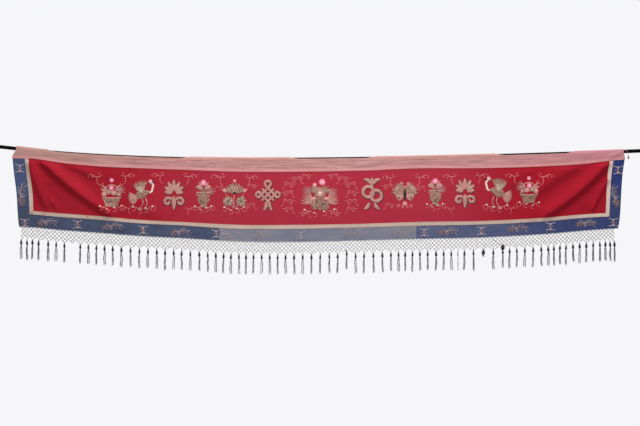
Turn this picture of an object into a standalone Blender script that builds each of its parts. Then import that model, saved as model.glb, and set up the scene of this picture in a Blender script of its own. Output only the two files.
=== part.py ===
"""Long festive banner of embroidered cloth with a net and tassel fringe, hung over a black rod.

Metres, +Z up. +X runs to the right as seen from the front, and the front faces -Y.
The origin is on the rod's axis at mid-length, and the cloth's plies lie one behind the other in Y.
"""

import math
import random
from collections import namedtuple

import bmesh
import bpy

MM = 0.001

# Rod
ROD_LENGTH = 4450 * MM
ROD_RADIUS = 12.5 * MM
ROD_SIDES = 12
ROD_RINGS = 19

# Cloth outline, as cut, at the level of the heading's lower edge
CLOTH_LEFT = -2102 * MM
CLOTH_RIGHT = 2082 * MM
BORDER_SHOWN_LEFT = 84 * MM
BORDER_SHOWN_RIGHT = 76 * MM
RIBBON_WIDTH = 26 * MM
LEFT_FADED_SEAM = -688 * MM
RIGHT_FADED_SEAM = 658 * MM

# Plies: thickness of each cloth, and the gaps between them
PANEL_THICKNESS = 2 * MM
RIBBON_THICKNESS = 1 * MM
HEADING_THICKNESS = 1.5 * MM
NET_THICKNESS = 2.5 * MM
GAP = 0.3 * MM
NET_GAP = 0.8 * MM
ROD_CLEARANCE = 2 * MM
LAP_UNDER_HEADING = 8 * MM
FLAT_BELOW_HEADING = 3 * MM
LAP_BEHIND_BORDER = 6 * MM

# Heading
HEADING_LEFT_LEAN = 28 * MM
HEADING_RIGHT_LEAN = 10 * MM
HEADING_COLUMN = 110 * MM
BACK_LEAF = 45 * MM
HOLD_RAMP = 70 * MM
ARC_STEPS = 5
SECTION_POINTS = ARC_STEPS + 6

# Lattice that the panel, ribbons and border share
FINE_COLUMN = 22 * MM
WIDE_COLUMN = 110 * MM
FOLDED_LEFT = 600 * MM
FOLDED_RIGHT = 520 * MM
LEAN_REACH = 700 * MM
PANEL_ROWS = 12

# Fringe
LAST_SLOT = 76
KNOT = 3 * MM
STRIP_SHOWN = 4 * MM
NET_DROPS = (STRIP_SHOWN, 31 * MM, 58 * MM, 85 * MM)
STRAND_LENGTH = 112 * MM
STRAND_SPREADING = 1.2
STRAND_SPREAD = 4 * MM
TASSEL_SWAY = 2.5 * MM
SEED = 11

# Loose thread at the heading's right-hand end
THREAD_RADIUS = 1.5 * MM
THREAD_SIDES = 5

# The rod's axis, sagging between its supports, in mm
RodPoint = namedtuple("RodPoint", "across height")
ROD_LINE = (
    RodPoint(-2225, 88),
    RodPoint(-1780, 42),
    RodPoint(-1230, 11),
    RodPoint(-600, -2),
    RodPoint(0, 0),
    RodPoint(620, 9),
    RodPoint(1160, 22),
    RodPoint(1850, 44),
    RodPoint(2225, 58),
)

# Heights of the seams, in mm: the heading's lower edge, the bottom ribbon's two edges, the border's hem
Seams = namedtuple("Seams", "across seam ribbon_top ribbon_foot hem")
SEAM_LINES = (
    Seams(-2100, 4, -340, -362, -462),
    Seams(-1945, 0, -357, -380, -468),
    Seams(-1780, -25, -371, -396, -484),
    Seams(-1507, -51, -391, -415, -504),
    Seams(-1233, -63, -416, -440, -525),
    Seams(-959, -73, -430, -453, -539),
    Seams(-548, -87, -450, -478, -563),
    Seams(-137, -87, -450, -477, -565),
    Seams(274, -80, -443, -468, -556),
    Seams(685, -64, -430, -456, -545),
    Seams(1096, -63, -424, -448, -536),
    Seams(1507, -51, -404, -428, -514),
    Seams(1781, -36, -380, -404, -491),
    Seams(1986, -12, -368, -392, -476),
    Seams(2090, -3, -365, -389, -474),
)

# How far the two ends lean in, in mm, from the heading (down = 0) to the hem (down = 1)
Lean = namedtuple("Lean", "down left right")
LEANS = (
    Lean(0, 0, 0),
    Lean(0.22, 10, 14),
    Lean(0.5, 27, 23),
    Lean(0.75, 34, 29),
    Lean(0.9, 39, 36),
    Lean(1, 45, 45),
)

# Slanting folds, in mm: the shaded line from start to end, with the crest on its left-hand side
Fold = namedtuple("Fold", "start_across start_height end_across end_height reach hollow crest bow")
FOLDS = (
    Fold(-1965, 30, -1385, -425, 20, 9, 24, -28),
    Fold(-2020, 0, -1870, -365, 26, 7, 14, -6),
    Fold(-1770, -15, -1530, -155, 24, 3, 8, 0),
    Fold(1500, -430, 2015, 5, 20, 9, 22, -30),
    Fold(1440, -285, 1800, -55, 34, 4, 10, 10),
    Fold(1862, -375, 1990, -125, 13, 4, 10, 5),
)
FOLD_FADE = 0.14
FOLD_SETTLE = 30 * MM
CREST_AT = 0.9
CREST_SPREAD = 2.3
HOLLOW_SPREAD = 1.6

# Long shallow waves of the middle, in mm: a positive depth goes back
Wave = namedtuple("Wave", "across reach depth")
WAVES = (
    Wave(-1130, 190, -3),
    Wave(-620, 220, 3),
    Wave(-150, 240, -3),
    Wave(330, 220, 3),
    Wave(820, 230, -3),
    Wave(1240, 180, 3),
)
WAVE_SETTLE = 260 * MM

# Where the heading is turned over the rod, in mm, and how much of the rod shows after each place
Hold = namedtuple("Hold", "start end shown_after")
HOLDS = (
    Hold(-2105, -1884, 6),
    Hold(-890, -205, 6),
    Hold(377, 1199, 9),
    Hold(1747, 2085, 0),
)
ROD_SHOWN_AT_HOLD = 0.5 * MM

# Where the points of the net hang, in mm, between the first tassel's slot and the last one's
Slot = namedtuple("Slot", "slot across")
SLOTS = (
    Slot(-0.5, -2062),
    Slot(3, -1924),
    Slot(4, -1860),
    Slot(12, -1418),
    Slot(16, -1174),
    Slot(20, -945),
    Slot(24, -712),
    Slot(29, -453),
    Slot(34, -177),
    Slot(37, 3),
    Slot(42, 302),
    Slot(45, 486),
    Slot(48, 632),
    Slot(53, 897),
    Slot(55, 988),
    Slot(57, 1118),
    Slot(59, 1250),
    Slot(61, 1346),
    Slot(64, 1514),
    Slot(66, 1600),
    Slot(68, 1683),
    Slot(72, 1869),
    Slot(74, 1952),
    Slot(76.5, 2028),
)

# Rings of a tassel's head, in mm below the net's last knot
Ring = namedtuple("Ring", "drop width depth")
HEAD = (Ring(17, 13, 11), Ring(32, 10, 6))
KNOTTED_HEAD = (Ring(20, 25, 18), Ring(34, 7, 6), Ring(48, 13, 11), Ring(62, 10, 6))

# Tassels unlike the rest: how far each is raised, in mm, and its share of the usual head and strands
Odd = namedtuple("Odd", "raised head strands")
USUAL = Odd(0, 1, 1)
ODD_TASSELS = {
    40: Odd(18, 1, 0.94),
    54: Odd(0, 0.6, 1),
    57: Odd(4, 1.15, 0.12),
    59: Odd(30, 1, 0.95),
}
LOST_TASSEL = 7
KNOTTED_TASSEL = 59

# Root triangles of a tassel's three strands, across its foot from -1 to 1
FRONT_ROOTS = (-1, -0.48, 0, 0.48, 1)
BACK_ROOTS = (-0.8, -0.3, 0.3, 0.8)

# Loose thread, in mm
ThreadPoint = namedtuple("ThreadPoint", "across depth height")
THREAD_LINE = (
    ThreadPoint(2073.5, -18, 56),
    ThreadPoint(2086, -20, 60),
    ThreadPoint(2098, -21, 52),
    ThreadPoint(2103, -21, 36),
    ThreadPoint(2105, -20, 22),
)
THREAD_KNOT = (Ring(6, 9, 9), Ring(16, 12, 8), Ring(24, 5, 4))

SHARP_ANGLE = math.radians(40)

PANEL_BACKSET = -(ROD_RADIUS + ROD_CLEARANCE) + GAP + PANEL_THICKNESS / 2


def smooth(share):
    """0 below 0 and 1 above 1, with an easy run between them."""
    share = min(max(share, 0.0), 1.0)
    return share * share * (3 - 2 * share)


def along(table, key, value, place):
    """A smooth curve through a table's rows: the column named value, at a place in the column named key."""
    at = [getattr(row, key) for row in table]
    height = [getattr(row, value) for row in table]
    right = next((i for i in range(1, len(at) - 1) if at[i] > place), len(at) - 1)
    left = right - 1

    def slope(i):
        before, after = max(i - 1, 0), min(i + 1, len(at) - 1)
        return (height[after] - height[before]) / (at[after] - at[before])

    run = at[right] - at[left]
    t = (place - at[left]) / run
    bend_left = slope(left) * run
    bend_right = slope(right) * run
    rise = height[right] - height[left]
    return (
        height[left]
        + bend_left * t
        + (3 * rise - 2 * bend_left - bend_right) * t**2
        + (bend_left + bend_right - 2 * rise) * t**3
    )


def rod_height(across):
    return along(ROD_LINE, "across", "height", across / MM) * MM


def seam_height(value, across):
    return along(SEAM_LINES, "across", value, across / MM) * MM


def slot_across(slot):
    return along(SLOTS, "slot", "across", slot) * MM


def leaned(cut_across, down):
    """Where a point of the cloth hangs: the ends lean in, and more so lower down."""
    left = 1 - smooth((cut_across - CLOTH_LEFT) / LEAN_REACH)
    right = 1 - smooth((CLOTH_RIGHT - cut_across) / LEAN_REACH)
    into_left = along(LEANS, "down", "left", down) * MM
    into_right = along(LEANS, "down", "right", down) * MM
    return cut_across + left * into_left - right * into_right


def fold_depth(fold, across, height):
    """How far one slanting fold moves a point back: a crest with a steep side down to a hollow."""
    run_x = (fold.end_across - fold.start_across) * MM
    run_z = (fold.end_height - fold.start_height) * MM
    length = math.hypot(run_x, run_z)
    from_x = across - fold.start_across * MM
    from_z = height - fold.start_height * MM
    share = (from_x * run_x + from_z * run_z) / length**2
    if not 0 < share < 1:
        return 0.0
    off_line = (from_z * run_x - from_x * run_z) / length
    off_line -= 4 * fold.bow * MM * share * (1 - share)
    t = off_line / (fold.reach * MM)
    hollow_reach = HOLLOW_SPREAD if t < -CREST_AT else 1.0
    crest_reach = CREST_SPREAD if t > CREST_AT else 1.0
    form = fold.hollow * math.exp(-(((t + CREST_AT) / hollow_reach) ** 2))
    form -= fold.crest * math.exp(-(((t - CREST_AT) / crest_reach) ** 2))
    return form * MM * smooth(share / FOLD_FADE) * smooth((1 - share) / FOLD_FADE)


def wave_depth(wave, across):
    return wave.depth * MM * math.exp(-(((across / MM - wave.across) / wave.reach) ** 2))


def cloth_depth(across, height):
    """Y of the panel's middle ply, which the ribbons, border and net follow."""
    below = seam_height("seam", across) - FLAT_BELOW_HEADING - height
    folds = sum(fold_depth(fold, across, height) for fold in FOLDS)
    waves = sum(wave_depth(wave, across) for wave in WAVES)
    return PANEL_BACKSET + folds * smooth(below / FOLD_SETTLE) + waves * smooth(below / WAVE_SETTLE)


# A row of the lattice: a share of the way from one seam down to the next, moved up by a distance
Row = namedtuple("Row", "upper lower share raised")
LAPPED = Row("seam", "seam", 0, LAP_UNDER_HEADING)
SETTLED = Row("seam", "seam", 0, -FLAT_BELOW_HEADING)
UNDER_HEADING = Row("seam", "seam", 0, -FLAT_BELOW_HEADING / 2)
PANEL_GRID = tuple(Row("seam", "ribbon_top", i / PANEL_ROWS, 0) for i in range(1, PANEL_ROWS + 1))
JOINT_ABOVE = Row("ribbon_top", "ribbon_foot", 0.5, GAP / 2)
JOINT_BELOW = Row("ribbon_top", "ribbon_foot", 0.5, -GAP / 2)
RIBBON_TOP = Row("ribbon_top", "ribbon_foot", 0, 0)
RIBBON_BUTT = Row("ribbon_top", "ribbon_foot", 0, GAP)
RIBBON_MIDDLE = Row("ribbon_top", "ribbon_foot", 0.5, 0)
RIBBON_FOOT = Row("ribbon_foot", "hem", 0, 0)
BORDER_MIDDLE = Row("ribbon_foot", "hem", 0.5, 0)
HEM = Row("ribbon_foot", "hem", 1, 0)


def row_height(row, across):
    upper = seam_height(row.upper, across)
    lower = seam_height(row.lower, across)
    return upper + (lower - upper) * row.share + row.raised


def lattice_point(cut_across, row, offset):
    """A point of the hanging cloth, offset in Y from its middle ply."""
    top = seam_height("seam", cut_across)
    down = (top - row_height(row, cut_across)) / (top - seam_height("hem", cut_across))
    across = leaned(cut_across, max(down, 0.0))
    height = row_height(row, across)
    return across, cloth_depth(across, height) + offset, height


def spaced(start, end, step):
    """Even steps from start up to end, without the end."""
    count = max(1, round((end - start) / step))
    return [start + (end - start) * i / count for i in range(count)]


LEFT_RIBBON = CLOTH_LEFT + BORDER_SHOWN_LEFT
LEFT_JOINT = LEFT_RIBBON + RIBBON_WIDTH / 2
LEFT_PANEL = LEFT_RIBBON + RIBBON_WIDTH
RIGHT_RIBBON = CLOTH_RIGHT - BORDER_SHOWN_RIGHT
RIGHT_JOINT = RIGHT_RIBBON - RIBBON_WIDTH / 2
RIGHT_PANEL = RIGHT_RIBBON - RIBBON_WIDTH
LEFT_BORDER_MIDDLE = CLOTH_LEFT + BORDER_SHOWN_LEFT / 2
RIGHT_BORDER_MIDDLE = CLOTH_RIGHT - BORDER_SHOWN_RIGHT / 2

INNER_LINES = (
    spaced(LEFT_PANEL, CLOTH_LEFT + FOLDED_LEFT, FINE_COLUMN)
    + spaced(CLOTH_LEFT + FOLDED_LEFT, LEFT_FADED_SEAM, WIDE_COLUMN)
    + spaced(LEFT_FADED_SEAM, RIGHT_FADED_SEAM, WIDE_COLUMN)
    + spaced(RIGHT_FADED_SEAM, CLOTH_RIGHT - FOLDED_RIGHT, WIDE_COLUMN)
    + spaced(CLOTH_RIGHT - FOLDED_RIGHT, RIGHT_PANEL, FINE_COLUMN)
    + [RIGHT_PANEL]
)


def closed_sheet(mesh, faces, front, back, left_open=()):
    """Fills in a sheet between its front and back points.

    faces are lists of keys, anticlockwise as seen from the front. An edge that only one face has gets a wall,
    but not where its two keys are in left_open.
    """
    used = {key for face in faces for key in face}
    near = {key: mesh.verts.new(point) for key, point in front.items() if key in used}
    far = {key: mesh.verts.new(point) for key, point in back.items() if key in used}
    rims = set()
    for face in faces:
        mesh.faces.new([near[key] for key in face])
        mesh.faces.new([far[key] for key in reversed(face)])
        for a, b in zip(face, face[1:] + face[:1]):
            if (b, a) in rims:
                rims.remove((b, a))
            else:
                rims.add((a, b))
    for a, b in sorted(rims):
        if frozenset((a, b)) not in left_open:
            mesh.faces.new([near[b], near[a], far[a], far[b]])
    return near, far


def grid_faces(lines, rows, kept=None):
    """Triangles of a grid of keys (line, row), where row 0 is the top.

    Each cell is split along its end's folds: they fall towards the middle on both sides.
    """
    faces = []
    for i in range(len(lines) - 1):
        for j in range(rows - 1):
            if kept is not None and not kept(i, j):
                continue
            corners = [(i, j), (i, j + 1), (i + 1, j + 1), (i + 1, j)]
            if lines[i] + lines[i + 1] > 0:
                corners = corners[1:] + corners[:1]
            faces.append(corners[:3])
            faces.append([corners[0], corners[2], corners[3]])
    return faces


def principled(name, colour, roughness):
    material = bpy.data.materials.new(name)
    material.use_nodes = True
    shader = material.node_tree.nodes["Principled BSDF"]
    shader.inputs["Base Color"].default_value = (*colour, 1.0)
    shader.inputs["Roughness"].default_value = roughness
    material.diffuse_color = (*colour, 1.0)
    return material


def add_object(name, mesh, material):
    """Turns a bmesh's faces outwards, shades it smooth and links it as an object."""
    bmesh.ops.recalc_face_normals(mesh, faces=mesh.faces)
    data = bpy.data.meshes.new(name)
    mesh.to_mesh(data)
    mesh.free()
    data.shade_smooth()
    data.set_sharp_from_angle(angle=SHARP_ANGLE)
    data.materials.append(material)
    piece = bpy.data.objects.new(name, data)
    bpy.context.scene.collection.objects.link(piece)
    return piece


def add_tube(mesh, rings):
    """A closed tube through rings of points, each as long as the next."""
    loops = [[mesh.verts.new(point) for point in ring] for ring in rings]
    sides = len(loops[0])
    for first, second in zip(loops, loops[1:]):
        for k in range(sides):
            m = (k + 1) % sides
            mesh.faces.new([first[k], first[m], second[m], second[k]])
    mesh.faces.new(list(reversed(loops[0])))
    mesh.faces.new(loops[-1])


def turns(sides):
    return [2 * math.pi * k / sides for k in range(sides)]


def make_rod(material):
    """A plain round bar. Its rings stand in planes of constant X, so its two ends are cut square to X."""
    rings = []
    for i in range(ROD_RINGS):
        across = ROD_LENGTH * (i / (ROD_RINGS - 1) - 0.5)
        axis = rod_height(across)
        ring = []
        for turn in turns(ROD_SIDES):
            ring.append((across, ROD_RADIUS * math.cos(turn), axis + ROD_RADIUS * math.sin(turn)))
        rings.append(ring)
    mesh = bmesh.new()
    add_tube(mesh, rings)
    return add_object("rod", mesh, material)


def make_cloth(name, lines, rows, front, thickness, material):
    """A flat-cut cloth piece of the lattice, from its front ply's offset back by its thickness."""
    mesh = bmesh.new()
    keys = [(i, j) for i in range(len(lines)) for j in range(len(rows))]
    front_points = {key: lattice_point(lines[key[0]], rows[key[1]], front) for key in keys}
    back_points = {key: lattice_point(lines[key[0]], rows[key[1]], front + thickness) for key in keys}
    closed_sheet(mesh, grid_faces(lines, len(rows)), front_points, back_points)
    return add_object(name, mesh, material)


def make_panel(material):
    lines = [LEFT_JOINT + GAP / 2] + INNER_LINES + [RIGHT_JOINT - GAP / 2]
    rows = [LAPPED, SETTLED, *PANEL_GRID, JOINT_ABOVE]
    return make_cloth("panel", lines, rows, -PANEL_THICKNESS / 2, PANEL_THICKNESS, material)


def make_ribbons(material):
    front = -(PANEL_THICKNESS / 2 + GAP + RIBBON_THICKNESS)
    side_rows = [UNDER_HEADING, SETTLED, *PANEL_GRID[:-1], RIBBON_BUTT]
    foot_rows = [RIBBON_TOP, RIBBON_MIDDLE, RIBBON_FOOT]
    foot_lines = [LEFT_RIBBON, LEFT_JOINT, *INNER_LINES, RIGHT_JOINT, RIGHT_RIBBON]
    left_lines = [LEFT_RIBBON, LEFT_JOINT, LEFT_PANEL]
    right_lines = [RIGHT_PANEL, RIGHT_JOINT, RIGHT_RIBBON]
    make_cloth("ribbon_left", left_lines, side_rows, front, RIBBON_THICKNESS, material)
    make_cloth("ribbon_bottom", foot_lines, foot_rows, front, RIBBON_THICKNESS, material)
    make_cloth("ribbon_right", right_lines, side_rows, front, RIBBON_THICKNESS, material)


def make_border(left_blue, faded_blue, right_blue):
    """Five cut lengths: two down the sides, and three along the hem, the middle one faded."""
    side_rows = [LAPPED, SETTLED, *PANEL_GRID, JOINT_ABOVE]
    hem_rows = [JOINT_BELOW, RIBBON_FOOT, BORDER_MIDDLE, HEM]
    left_end = [CLOTH_LEFT, LEFT_BORDER_MIDDLE, LEFT_RIBBON]
    right_end = [RIGHT_RIBBON, RIGHT_BORDER_MIDDLE, CLOTH_RIGHT]
    first = [line for line in INNER_LINES if line < LEFT_FADED_SEAM]
    second = [line for line in INNER_LINES if LEFT_FADED_SEAM < line < RIGHT_FADED_SEAM]
    third = [line for line in INNER_LINES if line > RIGHT_FADED_SEAM]
    first_lines = [*left_end, LEFT_JOINT, *first, LEFT_FADED_SEAM - GAP / 2]
    middle_lines = [LEFT_FADED_SEAM + GAP / 2, *second, RIGHT_FADED_SEAM - GAP / 2]
    last_lines = [RIGHT_FADED_SEAM + GAP / 2, *third, RIGHT_JOINT, *right_end]
    front = -PANEL_THICKNESS / 2
    for name, lines, rows, material in (
        ("border_left", [*left_end, LEFT_JOINT - GAP / 2], side_rows, left_blue),
        ("border_bottom_left", first_lines, hem_rows, left_blue),
        ("border_bottom_middle", middle_lines, hem_rows, faded_blue),
        ("border_bottom_right", last_lines, hem_rows, right_blue),
        ("border_right", [RIGHT_JOINT + GAP / 2, *right_end], side_rows, right_blue),
    ):
        make_cloth(name, lines, rows, front, PANEL_THICKNESS, material)


def rod_shown(across):
    """How much of the rod stands above the heading's top edge: none where the heading is turned over it."""
    for hold, after in zip(HOLDS, HOLDS[1:]):
        if hold.end * MM < across < after.start * MM:
            nearer = min(across - hold.end * MM, after.start * MM - across)
            more = hold.shown_after * MM - ROD_SHOWN_AT_HOLD
            return ROD_SHOWN_AT_HOLD + more * smooth(nearer / HOLD_RAMP)
    return ROD_SHOWN_AT_HOLD


def heading_section(across, radius):
    """One section of the heading from its back leaf, over the rod and down to its lower edge."""
    axis = rod_height(across)
    lower = seam_height("seam", across)
    outer = ROD_RADIUS + ROD_CLEARANCE + HEADING_THICKNESS
    edge_turn = math.asin((ROD_RADIUS - rod_shown(across)) / outer)
    bends = [math.pi + (edge_turn - math.pi) * i / ARC_STEPS for i in range(ARC_STEPS)]
    bends += [edge_turn, edge_turn / 2, 0.0]
    section = [(radius, axis - BACK_LEAF)]
    section += [(-radius * math.cos(bend), axis + radius * math.sin(bend)) for bend in bends]
    section += [(-radius, (axis + lower) / 2), (-radius, lower)]
    return section


def heading_across(cut_across, height):
    """Where a point of the heading hangs: its two ends lean in towards the rod."""
    lower = seam_height("seam", cut_across)
    rise = smooth((height - lower) / (rod_height(cut_across) - lower))
    left = 1 - smooth((cut_across - HOLDS[0].start * MM) / LEAN_REACH)
    right = 1 - smooth((HOLDS[-1].end * MM - cut_across) / LEAN_REACH)
    return cut_across + rise * (left * HEADING_LEFT_LEAN - right * HEADING_RIGHT_LEAN)


def make_heading(material):
    """One strip whose lower edge laps the panel. Four wide stretches of it are turned over the rod."""
    marks = [mark * MM for hold in HOLDS for mark in (hold.start, hold.end)]
    columns = []
    for left, right in zip(marks, marks[1:]):
        columns += spaced(left, right, HEADING_COLUMN)
    columns.append(marks[-1])

    def kept(i, j):
        middle = (columns[i] + columns[i + 1]) / 2
        return j > ARC_STEPS or any(hold.start * MM < middle < hold.end * MM for hold in HOLDS)

    inner = ROD_RADIUS + ROD_CLEARANCE
    front = {}
    back = {}
    for i, across in enumerate(columns):
        for points, radius in ((front, inner + HEADING_THICKNESS), (back, inner)):
            for j, (depth, height) in enumerate(heading_section(across, radius)):
                points[(i, j)] = (heading_across(across, height), depth, height)
    mesh = bmesh.new()
    closed_sheet(mesh, grid_faces(columns, SECTION_POINTS, kept), front, back)
    return add_object("heading", mesh, material)


def net_knot(row, slot):
    """Corners of one knot of the net, in X and Z: top, right, foot and left."""
    across = slot_across(slot)
    hem = seam_height("hem", across)
    raised = ODD_TASSELS.get(slot, USUAL).raised * MM if row == 3 else 0.0
    height = hem - NET_DROPS[row] + raised
    top = hem + LAP_BEHIND_BORDER if row == 0 else height + KNOT
    return {
        "top": (across, top),
        "right": (across + KNOT, height),
        "foot": (across, height - KNOT),
        "left": (across - KNOT, height),
    }


def net_faces():
    """The net as flat faces between named corners, and where its knots are.

    Rows 1 and 3 have a knot at each tassel's slot, and rows 0 and 2 between the slots and at both ends.
    """
    knots = {}
    for row in range(len(NET_DROPS)):
        slots = range(LAST_SLOT + 1) if row % 2 else [slot - 0.5 for slot in range(LAST_SLOT + 2)]
        for slot in slots:
            knots[(row, slot)] = net_knot(row, slot)
    faces = []
    for row, slot in knots:
        hung = row == 3 and slot != LOST_TASSEL
        corners = ["top", "left", "right"] if hung else ["top", "left", "foot", "right"]
        faces.append([(row, slot, corner) for corner in corners])
        if (row + 1, slot + 0.5) in knots:
            lower = (row + 1, slot + 0.5)
            faces.append([(row, slot, "right"), (row, slot, "foot"), (*lower, "left"), (*lower, "top")])
        if (row + 1, slot - 0.5) in knots:
            lower = (row + 1, slot - 0.5)
            faces.append([(row, slot, "foot"), (row, slot, "left"), (*lower, "top"), (*lower, "right")])
        if row == 0 and (0, slot + 1) in knots:
            after = (0, slot + 1)
            faces.append([(row, slot, "top"), (row, slot, "right"), (*after, "left"), (*after, "top")])
    return knots, faces


def add_ring(mesh, ring, next_ring):
    """Joins two rings of four points with four faces."""
    for k in range(4):
        m = (k + 1) % 4
        mesh.faces.new([ring[k], ring[m], next_ring[m], next_ring[k]])


def add_strand(mesh, root, tip_shift, length):
    """A three-sided strand that widens a little from its root triangle down to its tip."""
    middle = sum((corner.co for corner in root), start=root[0].co * 0) / len(root)
    tip = []
    for corner in root:
        spot = middle + (corner.co - middle) * STRAND_SPREADING
        tip.append(mesh.verts.new((spot.x + tip_shift[0], spot.y + tip_shift[1], spot.z - length)))
    for k in range(3):
        m = (k + 1) % 3
        mesh.faces.new([root[k], root[m], tip[m], tip[k]])
    mesh.faces.new(tip)


def add_tassel(mesh, ring, place, rings, odd, rng):
    """A tassel's head under a ring of four points, and its three strands."""
    across, depth, height = place
    for step in rings[:-1]:
        half_width = step.width * MM * odd.head / 2
        half_depth = step.depth * MM * odd.head / 2
        level = height - step.drop * MM
        below = [
            mesh.verts.new((across + side * half_width, depth + near * half_depth, level))
            for side, near in ((-1, -1), (1, -1), (1, 1), (-1, 1))
        ]
        add_ring(mesh, ring, below)
        ring = below
    foot = rings[-1]
    half_width = foot.width * MM * odd.head / 2
    half_depth = foot.depth * MM * odd.head / 2
    level = height - foot.drop * MM
    front = [mesh.verts.new((across + t * half_width, depth - half_depth, level)) for t in FRONT_ROOTS]
    back = [mesh.verts.new((across + t * half_width, depth + half_depth, level)) for t in BACK_ROOTS]
    mesh.faces.new([ring[0], ring[1], *reversed(front)])
    mesh.faces.new([ring[2], ring[3], *back])
    mesh.faces.new([ring[1], ring[2], back[-1], front[-1]])
    mesh.faces.new([ring[3], ring[0], front[0], back[0]])
    mesh.faces.new([front[1], front[2], back[1], back[0]])
    mesh.faces.new([front[2], front[3], back[3], back[2]])
    sway = rng.uniform(-TASSEL_SWAY, TASSEL_SWAY)
    length = STRAND_LENGTH * odd.strands * rng.uniform(0.94, 1.0)
    roots = (
        (-1, [front[0], front[1], back[0]]),
        (0, [front[2], back[2], back[1]]),
        (1, [front[3], front[4], back[3]]),
    )
    for side, root in roots:
        shift = (sway + side * rng.uniform(0.1, 1) * STRAND_SPREAD * odd.strands, rng.uniform(-2, 2) * MM)
        add_strand(mesh, root, shift, length * rng.uniform(0.97, 1.0))


def make_fringe(material):
    """The net on its strip behind the hem, with a tassel fused to each of its points but one."""
    rng = random.Random(SEED)
    knots, faces = net_faces()
    near_offset = PANEL_THICKNESS / 2 + NET_GAP
    front = {}
    back = {}
    for (row, slot), corners in knots.items():
        for corner, (across, height) in corners.items():
            if row == 3 and corner == "foot" and slot != LOST_TASSEL:
                continue
            depth = cloth_depth(across, seam_height("hem", across)) + near_offset
            front[(row, slot, corner)] = (across, depth, height)
            back[(row, slot, corner)] = (across, depth + NET_THICKNESS, height)
    hung_slots = [slot for slot in range(LAST_SLOT + 1) if slot != LOST_TASSEL]
    left_open = {frozenset(((3, slot, "left"), (3, slot, "right"))) for slot in hung_slots}
    mesh = bmesh.new()
    near, far = closed_sheet(mesh, faces, front, back, left_open)
    for slot in hung_slots:
        left = (3, slot, "left")
        right = (3, slot, "right")
        ring = [near[left], near[right], far[right], far[left]]
        place = (sum(corner.co.x for corner in ring) / 4, front[left][1] + NET_THICKNESS / 2, front[left][2])
        rings = KNOTTED_HEAD if slot == KNOTTED_TASSEL else HEAD
        add_tassel(mesh, ring, place, rings, ODD_TASSELS.get(slot, USUAL), rng)
    return add_object("fringe", mesh, material)


def make_loose_thread(material):
    """A thread that hangs free off the heading's right-hand end, with a dark knot at its foot."""
    line = [(point.across * MM, point.depth * MM, point.height * MM) for point in THREAD_LINE]
    rings = []
    for i, (x, y, z) in enumerate(line):
        before = line[max(i - 1, 0)]
        after = line[min(i + 1, len(line) - 1)]
        bearing = math.atan2(after[2] - before[2], after[0] - before[0])
        ring = []
        for turn in turns(THREAD_SIDES):
            out = THREAD_RADIUS * math.cos(turn)
            side = THREAD_RADIUS * math.sin(turn)
            ring.append((x - out * math.sin(bearing), y + side, z + out * math.cos(bearing)))
        rings.append(ring)
    x, y, z = line[-1]
    for step in THREAD_KNOT:
        out = step.width * MM / 2
        side = step.depth * MM / 2
        level = z - step.drop * MM
        ring = []
        for turn in turns(THREAD_SIDES):
            ring.append((x + out * math.cos(turn), y + side * math.sin(turn), level))
        rings.append(ring)
    mesh = bmesh.new()
    add_tube(mesh, rings)
    return add_object("loose_thread", mesh, material)


def main():
    for piece in list(bpy.data.objects):
        bpy.data.objects.remove(piece, do_unlink=True)
    make_rod(principled("black_lacquered_steel", (0.02, 0.02, 0.022), 0.45))
    make_heading(principled("faded_pink_cotton", (0.56, 0.26, 0.25), 0.85))
    make_panel(principled("red_wool_cloth", (0.33, 0.024, 0.038), 0.9))
    make_ribbons(principled("cream_ribbon", (0.55, 0.40, 0.28), 0.75))
    make_border(
        principled("blue_silk", (0.065, 0.084, 0.19), 0.7),
        principled("faded_blue_silk", (0.17, 0.19, 0.28), 0.75),
        principled("deep_blue_silk", (0.034, 0.042, 0.15), 0.7),
    )
    make_fringe(principled("cotton_net_and_tassels", (0.45, 0.42, 0.40), 0.9))
    make_loose_thread(principled("pink_thread", (0.5, 0.2, 0.22), 0.9))


main()
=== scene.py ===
"""Dresses the festive banner: woven cloths, raised stitching, a knotted net with tassels, and the rod.

Metres, +Z up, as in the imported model. The banner's front faces -Y, and the origin is on the rod's axis at
mid-length. Tables of places are in millimetres in the front view, across (X) and height (Z), and each class
turns its own into metres.
"""

from __future__ import annotations

import logging
import math
from collections.abc import Iterable, Sequence
from dataclasses import dataclass, field
from enum import Enum
from typing import NamedTuple

import bpy
import numpy as np
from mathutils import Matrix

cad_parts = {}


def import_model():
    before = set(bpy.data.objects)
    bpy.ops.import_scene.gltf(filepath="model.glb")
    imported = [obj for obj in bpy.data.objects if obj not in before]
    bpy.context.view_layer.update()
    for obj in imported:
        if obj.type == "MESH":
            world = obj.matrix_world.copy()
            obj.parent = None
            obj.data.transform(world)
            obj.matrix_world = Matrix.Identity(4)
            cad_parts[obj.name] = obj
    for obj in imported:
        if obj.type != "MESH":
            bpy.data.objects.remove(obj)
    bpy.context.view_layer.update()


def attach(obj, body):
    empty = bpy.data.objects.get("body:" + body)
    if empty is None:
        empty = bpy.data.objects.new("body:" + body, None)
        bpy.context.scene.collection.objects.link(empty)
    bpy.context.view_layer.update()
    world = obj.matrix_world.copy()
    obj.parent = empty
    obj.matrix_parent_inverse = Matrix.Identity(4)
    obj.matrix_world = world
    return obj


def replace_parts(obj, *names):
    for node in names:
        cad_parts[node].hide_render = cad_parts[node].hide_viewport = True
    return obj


MM = 0.001
BODY = "root"
LOG = logging.getLogger("banner")
Socket = bpy.types.NodeSocket


def smooth(share: np.ndarray | float) -> np.ndarray:
    """0 below 0 and 1 above 1, with an easy run between them."""
    share = np.clip(share, 0.0, 1.0)
    return share * share * (3 - 2 * share)


def bell(place: np.ndarray, middle: float, reach: np.ndarray | float) -> np.ndarray:
    """A rounded rise of height 1 at the middle, gone about two reaches away."""
    return np.exp(-(((place - middle) / reach) ** 2))


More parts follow.
